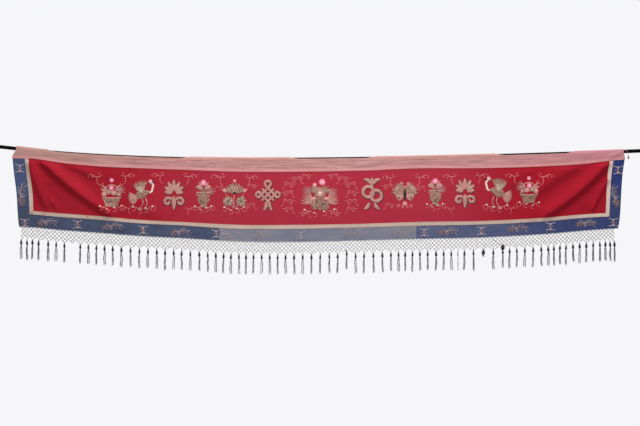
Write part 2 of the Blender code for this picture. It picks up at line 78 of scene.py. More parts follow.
def course(rows: Sequence[NamedTuple], key: str, value: str, place: np.ndarray | float) -> np.ndarray:
    """A smooth line through a table's rows.

    Args:
        rows: the table, in rising order of its key column.
        key: name of the column that place is measured in.
        value: name of the column to read.
        place: where to read it.

    Returns:
        The values at the places.
    """
    at = np.array([getattr(row, key) for row in rows], float)
    level = np.array([getattr(row, value) for row in rows], float)
    slope = np.empty(len(at))
    slope[1:-1] = (level[2:] - level[:-2]) / (at[2:] - at[:-2])
    slope[0] = (level[1] - level[0]) / (at[1] - at[0])
    slope[-1] = (level[-1] - level[-2]) / (at[-1] - at[-2])
    right = np.clip(np.searchsorted(at, place, side="right"), 1, len(at) - 1)
    left = right - 1
    run = at[right] - at[left]
    t = (place - at[left]) / run
    rise = level[right] - level[left]
    start, end = slope[left] * run, slope[right] * run
    return level[left] + start * t + (3 * rise - 2 * start - end) * t**2 + (start + end - 2 * rise) * t**3


class RodPlace(NamedTuple):
    """The rod's axis, sagging between what holds it."""

    across: float
    height: float


class Seams(NamedTuple):
    """Heights of the heading's lower edge, the bottom ribbon's two edges and the hem."""

    across: float
    seam: float
    ribbon_top: float
    ribbon_foot: float
    hem: float


class Lean(NamedTuple):
    """How far the two ends lean in, from the heading (down = 0) to the hem (down = 1)."""

    down: float
    left: float
    right: float


class Fold(NamedTuple):
    """A slanting fold: its shaded line from start to end, with the crest on its left-hand side."""

    start_across: float
    start_height: float
    end_across: float
    end_height: float
    reach: float
    hollow: float
    crest: float
    bow: float


class Wave(NamedTuple):
    """A long shallow wave of the cloth: a positive depth goes back."""

    across: float
    reach: float
    depth: float


class Hold(NamedTuple):
    """A stretch of heading turned over the rod, and how much of the rod shows after it."""

    start: float
    end: float
    shown_after: float


class Slot(NamedTuple):
    """Where a tassel's place on the net hangs."""

    slot: float
    across: float


ROD_LINE = (
    RodPlace(-2225, 88),
    RodPlace(-1780, 42),
    RodPlace(-1230, 11),
    RodPlace(-600, -2),
    RodPlace(0, 0),
    RodPlace(620, 9),
    RodPlace(1160, 22),
    RodPlace(1850, 44),
    RodPlace(2225, 58),
)
SEAM_LINES = (
    Seams(-2100, 4, -340, -362, -462),
    Seams(-1945, 0, -357, -380, -468),
    Seams(-1780, -25, -371, -396, -484),
    Seams(-1507, -51, -391, -415, -504),
    Seams(-1233, -63, -416, -440, -525),
    Seams(-959, -73, -430, -453, -539),
    Seams(-548, -87, -450, -478, -563),
    Seams(-137, -87, -450, -477, -565),
    Seams(274, -80, -443, -468, -556),
    Seams(685, -64, -430, -456, -545),
    Seams(1096, -63, -424, -448, -536),
    Seams(1507, -51, -404, -428, -514),
    Seams(1781, -36, -380, -404, -491),
    Seams(1986, -12, -368, -392, -476),
    Seams(2090, -3, -365, -389, -474),
)
LEANS = (
    Lean(0, 0, 0),
    Lean(0.22, 10, 14),
    Lean(0.5, 27, 23),
    Lean(0.75, 34, 29),
    Lean(0.9, 39, 36),
    Lean(1, 45, 45),
)
FOLDS = (
    Fold(-1965, 30, -1385, -425, 20, 9, 24, -28),
    Fold(-2020, 0, -1870, -365, 26, 7, 14, -6),
    Fold(-1770, -15, -1530, -155, 24, 3, 8, 0),
    Fold(1500, -430, 2015, 5, 20, 9, 22, -30),
    Fold(1440, -285, 1800, -55, 34, 4, 10, 10),
    Fold(1862, -375, 1990, -125, 13, 4, 10, 5),
)
CREASES = (
    Fold(-1862, -270, -1800, -365, 12, 2, 4, 3),
    Fold(-1560, -395, -1330, -500, 24, 2, 4, 0),
    Fold(1330, -480, 1500, -400, 22, 2, 4, 0),
    Fold(1260, -240, 1480, -90, 34, 2, 4, 5),
    Fold(-1250, -330, -1040, -470, 30, 1, 3, 0),
)
WAVES = (
    Wave(-1130, 190, -3),
    Wave(-620, 220, 3),
    Wave(-150, 240, -3),
    Wave(330, 220, 3),
    Wave(820, 230, -3),
    Wave(1240, 180, 3),
)
HOLDS = (
    Hold(-2105, -1884, 8),
    Hold(-890, -205, 9),
    Hold(377, 1199, 11),
    Hold(1747, 2085, 0),
)
SLOTS = (
    Slot(-0.5, -2062),
    Slot(3, -1924),
    Slot(4, -1860),
    Slot(12, -1418),
    Slot(16, -1174),
    Slot(20, -945),
    Slot(24, -712),
    Slot(29, -453),
    Slot(34, -177),
    Slot(37, 3),
    Slot(42, 302),
    Slot(45, 486),
    Slot(48, 632),
    Slot(53, 897),
    Slot(55, 988),
    Slot(57, 1118),
    Slot(59, 1250),
    Slot(61, 1346),
    Slot(64, 1514),
    Slot(66, 1600),
    Slot(68, 1683),
    Slot(72, 1869),
    Slot(74, 1952),
    Slot(76.5, 2028),
)


class Level(NamedTuple):
    """A line along the cloth: a share of the way from one seam down to the next, moved up in metres."""

    upper: str
    lower: str
    share: float
    raised: float = 0.0


@dataclass(frozen=True)
class HangingForm:
    """Where each point of the hanging banner is, by the same rules as its solids."""

    rod_radius: float = 12.5 * MM
    rod_clearance: float = 2 * MM
    panel_thickness: float = 2 * MM
    gap: float = 0.3 * MM
    left: float = -2102 * MM
    right: float = 2082 * MM
    lean_reach: float = 700 * MM
    flat_below_heading: float = 3 * MM
    fold_settle: float = 30 * MM
    wave_settle: float = 260 * MM
    fold_fade: float = 0.14
    crest_at: float = 0.9
    crest_spread: float = 2.3
    hollow_spread: float = 1.6
    pucker: float = 0.7 * MM
    pucker_spacing: float = 41 * MM
    pucker_depth: float = 45 * MM

    @property
    def middle_ply(self) -> float:
        """Y of the flat panel's mid-thickness."""
        return -(self.rod_radius + self.rod_clearance) + self.gap + self.panel_thickness / 2

    def rod_height(self, across: np.ndarray | float) -> np.ndarray:
        """Z of the rod's axis."""
        return course(ROD_LINE, "across", "height", np.asarray(across) / MM) * MM

    def seam(self, name: str, across: np.ndarray | float) -> np.ndarray:
        """Z of one of the seam lines."""
        return course(SEAM_LINES, "across", name, np.asarray(across) / MM) * MM

    def slot(self, slot: np.ndarray | float) -> np.ndarray:
        """X of a tassel's slot."""
        return course(SLOTS, "slot", "across", slot) * MM

    def level(self, level: Level, across: np.ndarray) -> np.ndarray:
        """Z of a line along the cloth."""
        upper, lower = self.seam(level.upper, across), self.seam(level.lower, across)
        return upper + (lower - upper) * level.share + level.raised

    def fold(self, fold: Fold, across: np.ndarray, height: np.ndarray) -> np.ndarray:
        """How far one slanting fold moves the cloth back: a crest with a steep side down to a hollow.

        Args:
            fold: the fold.
            across: X of the points.
            height: Z of the points.

        Returns:
            The change in Y.
        """
        run_x = (fold.end_across - fold.start_across) * MM
        run_z = (fold.end_height - fold.start_height) * MM
        length = math.hypot(run_x, run_z)
        from_x = across - fold.start_across * MM
        from_z = height - fold.start_height * MM
        share = np.clip((from_x * run_x + from_z * run_z) / length**2, 0, 1)
        off_line = (from_z * run_x - from_x * run_z) / length - 4 * fold.bow * MM * share * (1 - share)
        t = off_line / (fold.reach * MM)
        hollow = bell(t, -self.crest_at, np.where(t < -self.crest_at, self.hollow_spread, 1.0))
        crest = bell(t, self.crest_at, np.where(t > self.crest_at, self.crest_spread, 1.0))
        form = fold.hollow * hollow - fold.crest * crest
        return form * MM * smooth(share / self.fold_fade) * smooth((1 - share) / self.fold_fade)

    def depth(self, across: np.ndarray, height: np.ndarray) -> np.ndarray:
        """Y of the panel's middle ply, which the ribbons, border, stitching and net follow."""
        below = self.seam("seam", across) - self.flat_below_heading - height
        folds = sum(self.fold(fold, across, height) for fold in FOLDS + CREASES)
        waves = sum(wave.depth * MM * bell(across / MM, wave.across, wave.reach) for wave in WAVES)
        turn = 2 * math.pi * across / self.pucker_spacing
        uneven = np.sin(turn + 1.7 * np.sin(turn / 7.3))
        puckers = self.pucker * uneven * np.exp(-np.abs(below) / self.pucker_depth)
        folded = (folds + puckers) * smooth(below / self.fold_settle)
        return self.middle_ply + folded + waves * smooth(below / self.wave_settle)

    def leaned(self, cut_across: np.ndarray, down: np.ndarray) -> np.ndarray:
        """Where a point of the cut cloth hangs: the ends lean in, and more so lower down."""
        left = 1 - smooth((cut_across - self.left) / self.lean_reach)
        right = 1 - smooth((self.right - cut_across) / self.lean_reach)
        into_left = course(LEANS, "down", "left", down) * MM
        into_right = course(LEANS, "down", "right", down) * MM
        return cut_across + left * into_left - right * into_right

    def hung(
        self, cut_across: np.ndarray, top: Level, foot: Level, share: np.ndarray
    ) -> tuple[np.ndarray, np.ndarray, np.ndarray, np.ndarray]:
        """Hangs points of a cut cloth piece.

        Args:
            cut_across: X of the points as cut.
            top: the piece's upper edge.
            foot: the piece's lower edge.
            share: how far down the piece each point is, from 0 to 1.

        Returns:
            X, Y of the middle ply and Z of the points, and their depth below the heading as cut.
        """
        cut_height = self.level(top, cut_across) * (1 - share) + self.level(foot, cut_across) * share
        seam = self.seam("seam", cut_across)
        down = (seam - cut_height) / (seam - self.seam("hem", cut_across))
        across = self.leaned(cut_across, np.maximum(down, 0))
        height = self.level(top, across) * (1 - share) + self.level(foot, across) * share
        return across, self.depth(across, height), height, seam - cut_height


FORM = HangingForm()


def linear(code: str) -> tuple[float, float, float, float]:
    """Turns an sRGB hex colour into the linear colour that a shader takes."""
    shares = [int(code[i : i + 2], 16) / 255 for i in (1, 3, 5)]
    red, green, blue = (s / 12.92 if s <= 0.04045 else ((s + 0.055) / 1.055) ** 2.4 for s in shares)
    return red, green, blue, 1.0


class Tree:
    """A material's node tree, to which nodes are added one at a time."""

    def __init__(self, name: str, colour: str, roughness: float, **sockets: float) -> None:
        """Starts a material with its shader.

        Args:
            name: the material's name.
            colour: sRGB hex colour of the shader.
            roughness: the shader's roughness.
            sockets: other constants of the shader, with underscores for the spaces in their names.
        """
        self.material = bpy.data.materials.new(name)
        self.material.use_nodes = True
        self.nodes = self.material.node_tree.nodes
        self.links = self.material.node_tree.links
        self.shader = self.nodes["Principled BSDF"]
        self.shader.inputs["Base Color"].default_value = linear(colour)
        self.shader.inputs["Roughness"].default_value = roughness
        for socket, value in sockets.items():
            self.shader.inputs[socket.replace("_", " ")].default_value = value
        self.material.diffuse_color = linear(colour)

    def add(self, kind: str, inputs: dict | None = None, **settings: object) -> bpy.types.Node:
        """Adds a node.

        Args:
            kind: the node's type, without its ShaderNode prefix.
            inputs: values or sockets for its inputs, by name or number.
            settings: properties of the node.

        Returns:
            The new node.
        """
        node = self.nodes.new("ShaderNode" + kind)
        for setting, value in settings.items():
            setattr(node, setting, value)
        for key, value in (inputs or {}).items():
            if isinstance(value, Socket):
                self.links.new(value, node.inputs[key])
            else:
                node.inputs[key].default_value = value
        return node

    def blend(self, amount: Socket, low: object, high: object) -> Socket:
        """Mixes two colours, given as hex or as sockets, by an amount from 0 to 1."""
        node = self.add("Mix", {0: amount}, data_type="RGBA")
        for index, colour in ((6, low), (7, high)):
            if isinstance(colour, str):
                node.inputs[index].default_value = linear(colour)
            else:
                self.links.new(colour, node.inputs[index])
        return node.outputs[2]

    def math(self, operation: str, first: object, second: object = 0.0) -> Socket:
        """One step of arithmetic."""
        return self.add("Math", {0: first, 1: second}, operation=operation).outputs[0]

    def ramp(self, value: object, low: float, high: float) -> Socket:
        """Turns a value into a share from 0 at low to 1 at high, with an easy run between them."""
        inputs = {"Value": value, "From Min": low, "From Max": high}
        return self.add("MapRange", inputs, interpolation_type="SMOOTHSTEP").outputs[0]

    def patches(self, vector: Socket, size: float, stretch: float = 1.0) -> Socket:
        """Cloudy patches.

        Args:
            vector: the coordinates, in metres.
            size: how big the patches are, in metres.
            stretch: how many times longer they are across than up.

        Returns:
            A value from 0 to 1.
        """
        scale = (1 / (size * stretch), 1 / size, 1 / size)
        place = self.add("Mapping", {"Vector": vector, "Scale": scale}).outputs[0]
        noise = self.add("TexNoise", {"Vector": place, "Scale": 1.0, "Detail": 4.0, "Roughness": 0.6})
        return noise.outputs[0]

    def stripes(self, along: Socket, spacing: float) -> Socket:
        """Rounded stripes from 0 to 1 at a real spacing in metres."""
        turn = self.math("MULTIPLY", along, 2 * math.pi / spacing)
        sine = self.math("SINE", turn)
        return self.add("Math", {0: sine, 1: 0.5, 2: 0.5}, operation="MULTIPLY_ADD").outputs[0]

    def finish(self, colour: Socket, relief: Socket, height: float) -> bpy.types.Material:
        """Joins up the shader.

        Args:
            colour: the finished colour.
            relief: the surface's relief, from 0 to 1.
            height: the relief's real height in metres.

        Returns:
            The material.
        """
        self.links.new(colour, self.shader.inputs["Base Color"])
        bump = self.add("Bump", {"Height": relief, "Distance": height, "Strength": 1.0})
        self.links.new(bump.outputs[0], self.shader.inputs["Normal"])
        return self.material


class Tint(NamedTuple):
    """A change of colour across (axis 0) or up (1) the cloth, from none at start to amount at end."""

    axis: int
    start: float
    end: float
    amount: float
    colour: str


class Stain(NamedTuple):
    """A small stain: its place in millimetres in the front view, its radius and its sRGB colour."""

    across: float
    height: float
    radius: float
    colour: str


@dataclass(frozen=True)
class WovenCloth:
    """Old plain-woven cloth: matt, faded in clouds, with uneven threads and a soft nap."""

    name: str
    colour: str
    faded: str
    dirty: str
    streak: str
    streak_share: float = 0.4
    streak_height: float = 9 * MM
    streak_stretch: float = 18.0
    weave: float = 3.2 * MM
    relief: float = 0.5 * MM
    roughness: float = 0.9
    sheen: float = 0.06
    gloss: float = 0.12
    faded_share: float = 0.7
    dirty_share: float = 0.5
    cloud: float = 300 * MM
    worn_patch: float = 45 * MM
    slub_relief: float = 1.5
    stain_cover: float = 0.8
    stain_core: float = 0.4
    tints: tuple[Tint, ...] = ()
    stains: tuple[Stain, ...] = ()

    def make(self) -> bpy.types.Material:
        """Makes the cloth's material on the piece's own cut coordinates."""
        # Wool and cotton scatter light nearly evenly, and their fibres add a faint sheen at a slant.
        # The weave is drawn 3 mm coarse, because its real threads are too fine to show.
        tree = Tree(
            self.name, self.colour, self.roughness, Specular_IOR_Level=self.gloss, Sheen_Weight=self.sheen
        )
        flat = tree.add("UVMap", uv_map="cut").outputs[0]
        parts = tree.add("SeparateXYZ", {0: flat})
        across, up = parts.outputs[0], parts.outputs[1]
        clouds = tree.patches(flat, self.cloud, 1.6)
        worn = tree.patches(flat, self.worn_patch, 1.5)
        slubs = tree.patches(flat, self.streak_height, self.streak_stretch)
        colour = self.colour
        for cover, low, high, share, tint in (
            (clouds, 0.35, 0.7, self.faded_share, self.faded),
            (worn, 0.5, 0.75, self.dirty_share, self.dirty),
            (slubs, 0.42, 0.6, self.streak_share, self.streak),
        ):
            colour = tree.blend(tree.math("MULTIPLY", tree.ramp(cover, low, high), share), colour, tint)
        for tint in self.tints:
            shift = tree.ramp((across, up)[tint.axis], tint.start, tint.end)
            colour = tree.blend(tree.math("MULTIPLY", shift, tint.amount), colour, tint.colour)
        place = tree.add("TexCoord").outputs["Object"]
        for stain in self.stains:
            spot = (stain.across * MM, FORM.middle_ply, stain.height * MM)
            reach = tree.add("VectorMath", {0: place, 1: spot}, operation="DISTANCE").outputs["Value"]
            radius = stain.radius * MM
            mark = tree.ramp(reach, radius, radius * self.stain_core)
            colour = tree.blend(tree.math("MULTIPLY", mark, self.stain_cover), colour, stain.colour)
        warp = tree.stripes(across, self.weave)
        weft = tree.stripes(up, self.weave)
        weave = tree.math("ABSOLUTE", tree.math("SUBTRACT", warp, weft))
        relief = tree.math("ADD", weave, tree.math("MULTIPLY", slubs, self.slub_relief))
        return tree.finish(colour, relief, self.relief)


@dataclass(frozen=True)
class ThreadWork:
    """Embroidery thread: couched cord or satin stitch, with a low silky gloss along its lines."""

    name: str
    colour: str
    shade: str
    # Painted shade of the gaps between the cords: its colour, how much of it shows and how big its patches
    # are.
    gap_shade: str | None = None
    gap_shade_share: float = 0.6
    gap_shade_size: float = 10 * MM
    spacing: float = 3.0 * MM
    roughness: float = 0.6
    worn_patch: float = 18 * MM
    line_shade: float = 0.55
    worn_shade: float = 0.7
    relief: float = 0.6 * MM

    def make(self) -> bpy.types.Material:
        """Makes the thread's material, lined along each stitched shape."""
        # Silk is smooth and a little glossy. Its lines are drawn 3 mm apart, for the real ones are too fine,
        # and the shade in the gaps between the couched cords is painted in dark patches for the same reason.
        tree = Tree(self.name, self.colour, self.roughness, Sheen_Weight=0.1, Sheen_Roughness=0.4)
        flat = tree.add("UVMap", uv_map="cut").outputs[0]
        parts = tree.add("SeparateXYZ", {0: flat})
        lines = tree.stripes(parts.outputs[1], self.spacing)
        place = tree.add("TexCoord").outputs["Object"]
        worn = tree.ramp(tree.patches(place, self.worn_patch), 0.42, 0.7)
        between = tree.math("MULTIPLY", lines, self.line_shade)
        amount = tree.math("MAXIMUM", between, tree.math("MULTIPLY", worn, self.worn_shade))
        colour = tree.blend(amount, self.colour, self.shade)
        if self.gap_shade:
            shaded_gaps = tree.ramp(tree.patches(place, self.gap_shade_size), 0.47, 0.56)
            colour = tree.blend(tree.math("MULTIPLY", shaded_gaps, self.gap_shade_share), colour, self.gap_shade)
        return tree.finish(colour, lines, self.relief)


@dataclass(frozen=True)
class Lacquer:
    """Black lacquer brushed on a steel tube: dulled by age and fine dust, with rubbed spots."""

    name: str = "black_lacquered_steel"
    colour: str = "#0a0a0b"
    rubbed: str = "#151416"
    roughness: float = 0.75
    gloss: float = 0.02
    rub: float = 6 * MM
    drip: float = 4 * MM
    relief: float = 0.12 * MM

    def make(self) -> bpy.types.Material:
        """Makes the lacquer on Object coordinates, lined along the rod."""
        tree = Tree(self.name, self.colour, self.roughness, Specular_IOR_Level=self.gloss)
        place = tree.add("TexCoord").outputs["Object"]
        rubs = tree.ramp(tree.patches(place, self.rub, 14.0), 0.5, 0.75)
        drips = tree.patches(place, self.drip, 3.0)
        return tree.finish(tree.blend(rubs, self.colour, self.rubbed), drips, self.relief)


@dataclass(frozen=True)
class SpunCord:
    """Spun cotton: matt, hairy and uneven, darker where hands and dust have been."""

    name: str
    colour: str
    shade: str
    patch: float = 12 * MM
    roughness: float = 0.95
    strand: float = 1.2 * MM
    relief: float = 0.4 * MM

    def make(self) -> bpy.types.Material:
        """Makes the cord's material on Object coordinates."""
        tree = Tree(self.name, self.colour, self.roughness, Sheen_Weight=0.1)
        place = tree.add("TexCoord").outputs["Object"]
        uneven = tree.ramp(tree.patches(place, self.patch), 0.35, 0.65)
        strands = tree.patches(place, self.strand)
        return tree.finish(tree.blend(uneven, self.colour, self.shade), strands, self.relief)


def deselect() -> None:
    """Deselects every object, because an operator acts on all that is selected."""
    bpy.ops.object.select_all(action="DESELECT")


def select(piece: bpy.types.Object) -> None:
    """Makes a piece the only selected one, and the active one."""
    deselect()
    piece.select_set(True)
    bpy.context.view_layer.objects.active = piece


def apply_modifier(piece: bpy.types.Object, kind: str, **settings: object) -> None:
    """Adds a modifier with its settings and applies it."""
    select(piece)
    modifier = piece.modifiers.new(kind.lower(), kind)
    for setting, value in settings.items():
        setattr(modifier, setting, value)
    bpy.ops.object.modifier_apply(modifier=modifier.name)


def set_points(piece: bpy.types.Object, points: np.ndarray) -> None:
    """Moves a piece's points to the given places, in their order."""
    piece.data.vertices.foreach_set("co", np.ascontiguousarray(points, np.float32).ravel())
    piece.data.update()


def gathered(name: str, points: np.ndarray, faces: Sequence[tuple[int, ...]]) -> bpy.types.Object:
    """Makes a piece from gathered points and faces."""
    mesh = bpy.data.meshes.new(name)
    mesh.from_pydata(points.tolist(), [], faces)
    piece = bpy.data.objects.new(name, mesh)
    bpy.context.scene.collection.objects.link(piece)
    return piece


def face_outwards(piece: bpy.types.Object) -> None:
    """Turns all faces of a piece outwards."""
    select(piece)
    bpy.ops.object.mode_set(mode="EDIT")
    bpy.ops.mesh.select_all(action="SELECT")
    bpy.ops.mesh.normals_make_consistent(inside=False)
    bpy.ops.object.mode_set(mode="OBJECT")


def shade(piece: bpy.types.Object, degrees: float = 60) -> None:
    """Shades a piece smooth, but for edges sharper than the given angle."""
    select(piece)
    bpy.ops.object.shade_smooth_by_angle(angle=math.radians(degrees))


def dress(piece: bpy.types.Object, finishes: Iterable[object]) -> None:
    """Gives a piece its materials and has it ride with the banner.

    Args:
        piece: the finished piece.
        finishes: its finishes, in the order of its material slots.
    """
    for finish in finishes:
        made = bpy.data.materials.get(finish.name)
        piece.data.materials.append(made or finish.make())
    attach(piece, BODY)
    LOG.info("%s: %d faces", piece.name, len(piece.data.polygons))


def hung_sheet(
    name: str, points: np.ndarray, cut: np.ndarray, thickness: float, open_cells: np.ndarray | None = None
) -> bpy.types.Object:
    """Shapes a grid into a sheet of cloth and gives it its thickness.

    Args:
        name: the piece's name.
        points: places of the outer face, as rows from the foot up, of columns from left to right.
        cut: where each of them is on the flat cloth, in metres.
        thickness: the cloth's thickness.
        open_cells: which cells of the grid are cut away.

    Returns:
        The closed sheet.
    """
    rows, columns = points.shape[:2]
    deselect()
    bpy.ops.mesh.primitive_grid_add(x_subdivisions=columns - 1, y_subdivisions=rows - 1, size=1)
    sheet = bpy.context.active_object
    sheet.name = sheet.data.name = name
    mesh = sheet.data
    set_points(sheet, points.reshape(-1, 3))
    corners = np.empty(len(mesh.loops), np.int32)
    mesh.loops.foreach_get("vertex_index", corners)
    mesh.uv_layers[0].name = "cut"
    mesh.uv_layers["cut"].data.foreach_set("uv", cut.reshape(-1, 2)[corners].astype(np.float32).ravel())
    if open_cells is not None:
        bpy.ops.object.mode_set(mode="EDIT")
        bpy.ops.mesh.select_mode(type="FACE")
        bpy.ops.mesh.select_all(action="DESELECT")
        bpy.ops.object.mode_set(mode="OBJECT")
        mesh.polygons.foreach_set("select", open_cells.ravel())
        bpy.ops.object.mode_set(mode="EDIT")
        bpy.ops.mesh.delete(type="FACE")
        bpy.ops.object.mode_set(mode="OBJECT")
    apply_modifier(sheet, "SOLIDIFY", thickness=thickness, offset=-1)
    shade(sheet)
    return sheet


def columns_between(stops: Sequence[float], steps: Sequence[float]) -> np.ndarray:
    """Places from the first stop to the last, evenly spaced between each two by about the step given."""
    places = []
    for start, end, step in zip(stops, stops[1:], steps):
        places.append(np.linspace(start, end, max(1, round((end - start) / step)), endpoint=False))
    return np.append(np.concatenate(places), stops[-1])


@dataclass
class ClothPiece:
    """A flat-cut piece of the banner, which stands for the node of the same name."""

    node: str
    left: float
    right: float
    top: Level
    foot: Level
    front: float
    thickness: float
    finish: WovenCloth
    slot: str
    hangs_from: str
    fine_step: float = 6 * MM
    wide_step: float = 10 * MM
    row_step: float = 7 * MM
    folded_left: float = -1480 * MM
    folded_right: float = 1400 * MM

    def build(self, with_pieces: Sequence[bpy.types.Object] = ()) -> None:
        """Args:
            with_pieces: the stitching on it; not used.
        """
        marks = [m for m in (self.folded_left, self.folded_right) if self.left < m < self.right]
        stops = [self.left, *marks, self.right]
        flat = [self.folded_left <= start < self.folded_right for start in stops[:-1]]
        steps = [self.wide_step if is_flat else self.fine_step for is_flat in flat]
        columns = columns_between(stops, steps)
        cut_length = float(np.mean(FORM.level(self.top, columns) - FORM.level(self.foot, columns)))
        share = np.linspace(1, 0, max(3, round(cut_length / self.row_step) + 1))[:, None]
        grid = np.broadcast_to(columns[None, :], (len(share), len(columns)))
        across, depth, height, below = FORM.hung(grid, self.top, self.foot, share)
        points = np.stack([across, depth + self.front, height], axis=-1)
        cut = np.stack([grid, -below], axis=-1)
        sheet = hung_sheet(f"cloth_{self.node}", points, cut, self.thickness)
        dress(sheet, [self.finish])
        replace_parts(sheet, self.node)


RED_WOOL = WovenCloth(
    "red_felted_wool",
    colour="#981a29",
    faded="#a9242f",
    dirty="#88162a",
    streak="#8f1927",
    streak_share=0.3,
    relief=0.35 * MM,
    sheen=0.0,
    gloss=0.04,
    tints=(Tint(0, -1.5, -0.6, 0.6, "#a83444"), Tint(0, 0.8, 1.45, 0.9, "#9b1626")),
)
PINK_COTTON = WovenCloth(
    "faded_pink_cotton",
    colour="#cb9390",
    faded="#c38a87",
    dirty="#b07f78",
    streak="#966c65",
    streak_share=0.75,
    streak_height=8 * MM,
    streak_stretch=24,
    relief=0.8 * MM,
    tints=(
        Tint(1, 0.05, 0.09, 0.4, "#a57f72"),
        Tint(0, -1.1, -1.9, 0.6, "#b08a7e"),
        Tint(0, 1.0, 1.9, 0.7, "#c47f8b"),
        Tint(1, 0.024, 0.015, 0.8, "#dd9597"),
    ),
    stains=(
        Stain(1243, 22, 7, "#8a5553"),
        Stain(1541, 29, 7, "#8a5553"),
        Stain(1795, 29, 8, "#8a5553"),
    ),
)
CREAM_RIBBON = WovenCloth(
    "cream_woven_ribbon",
    colour="#c8b2a4",
    faded="#bba597",
    dirty="#a38e82",
    streak="#b09a8c",
    weave=2.5 * MM,
    tints=(Tint(0, 1.6, 2.0, 0.7, "#dcc6bb"),),
    stains=(
        Stain(-1969, -366, 8, "#3a4a35"),
        Stain(1375, -430, 9, "#4a3f3e"),
        Stain(-1884, -377, 12, "#b98058"),
        Stain(-1589, -392, 14, "#b98462"),
    ),
)
LEFT_BLUE = WovenCloth(
    "blue_cotton",
    colour="#454f69",
    faded="#525c74",
    dirty="#32384b",
    streak="#3a435a",
    streak_share=0.5,
    faded_share=0.9,
    dirty_share=0.8,
    tints=(Tint(1, -0.36, -0.2, 0.8, "#4a5a84"), Tint(0, -1.6, -1.9, 0.35, "#394258")),
)
FADED_BLUE = WovenCloth(
    "faded_blue_cotton",
    colour="#77798a",
    faded="#938c8b",
    dirty="#5f657c",
    streak="#6c7082",
    streak_share=0.5,
    faded_share=0.9,
    dirty_share=0.7,
)
RIGHT_BLUE = WovenCloth(
    "deep_blue_cotton",
    colour="#515979",
    faded="#606881",
    dirty="#3d4466",
    streak="#454c6e",
    streak_share=0.5,
    faded_share=0.9,
    dirty_share=0.7,
    tints=(Tint(0, 0.9, 1.9, 0.75, "#2c3568"), Tint(1, -0.35, -0.1, 0.75, "#27346f")),
)


class Thread(Enum):
    """The threads that the needlework uses, each with its finish."""

    # A thread's fourth colour, where given, is the painted shade in the gaps between its cords.
    COUCHED = ThreadWork("couched_dull_gold_cord", "#b98f7b", "#94705f", "#4d2b28", 0.9, 8 * MM)
    CORDED = ThreadWork("dull_gold_cord", "#c68e82", "#b07669", "#7d5853", 0.45, 12 * MM)
    # Dark outline thread, laid down and to the right of the cord above it, so it also paints that cord's
    # shadow.
    OUTLINE_AND_SHADOW = ThreadWork("dark_outline_and_painted_shadow", "#43151a", "#5a2024", roughness=0.8)
    PALE = ThreadWork("pale_silk", "#ead2c4", "#d3b3a6")
    ROSE = ThreadWork("rose_silk", "#e0608f", "#f090b4")
    BLUSH = ThreadWork("blush_silk", "#dc9a95", "#c07a78")
    PLUME = ThreadWork("greyish_rose_silk", "#a8696a", "#8f4f55")
    BLACK = ThreadWork("black_silk", "#120f0d", "#2c2224")
    WISP = ThreadWork("pale_pink_line", "#dc8480", "#cc6a6c")
    SPRAY = ThreadWork("cream_pink_silk", "#b29c9c", "#8d7f88")
    EMBER = ThreadWork("orange_brown_silk", "#a87b6e", "#86686e", "#3d3a50", 0.8, 8 * MM)
    # Painted shade: flat dark violet petals laid under the border sprays.
    SPRAY_SHADE = ThreadWork("dark_violet_painted_shade", "#403b58", "#4d4763")
    FILIGREE = ThreadWork("pale_greyish_silk", "#9aa0ac", "#75798c")
    WORN_SPRAY = ThreadWork("worn_pinkish_silk", "#a08c8c", "#80808c")


THREADS = list(Thread)


def arc(middle: tuple[float, float], radius: float, start: float, end: float, steps: int = 10) -> np.ndarray:
    """Points of an arc, in millimetres, from one angle in degrees to another."""
    turn = np.radians(np.linspace(start, end, steps))
    return np.stack([middle[0] + radius * np.cos(turn), middle[1] + radius * np.sin(turn)], axis=1)


def spiral(
    middle: tuple[float, float], radius: float, start: float, turns: float, steps: int = 14
) -> np.ndarray:
    """Points of a curl that winds inwards from its outer end; negative turns wind clockwise."""
    t = np.linspace(0, 1, steps)
    turn = np.radians(start) + 2 * math.pi * turns * t
    reach = radius * (1 - 0.8 * t)
    return np.stack([middle[0] + reach * np.cos(turn), middle[1] + reach * np.sin(turn)], axis=1)


def bent(root: tuple[float, float], tip: tuple[float, float], bow: float = 0.0, steps: int = 7) -> np.ndarray:
    """Points from root to tip, bowed to the left of the way by a distance."""
    start, end = np.array(root, float), np.array(tip, float)
    t = np.linspace(0, 1, steps)[:, None]
    run = end - start
    side = np.array([-run[1], run[0]]) / max(np.hypot(*run), 1e-6)
    return start + run * t + side * (4 * bow * t * (1 - t))


def polar(middle: tuple[float, float], reach: float, degrees: float) -> tuple[float, float]:
    """A point at a distance and angle from another."""
    turn = math.radians(degrees)
    return middle[0] + reach * math.cos(turn), middle[1] + reach * math.sin(turn)


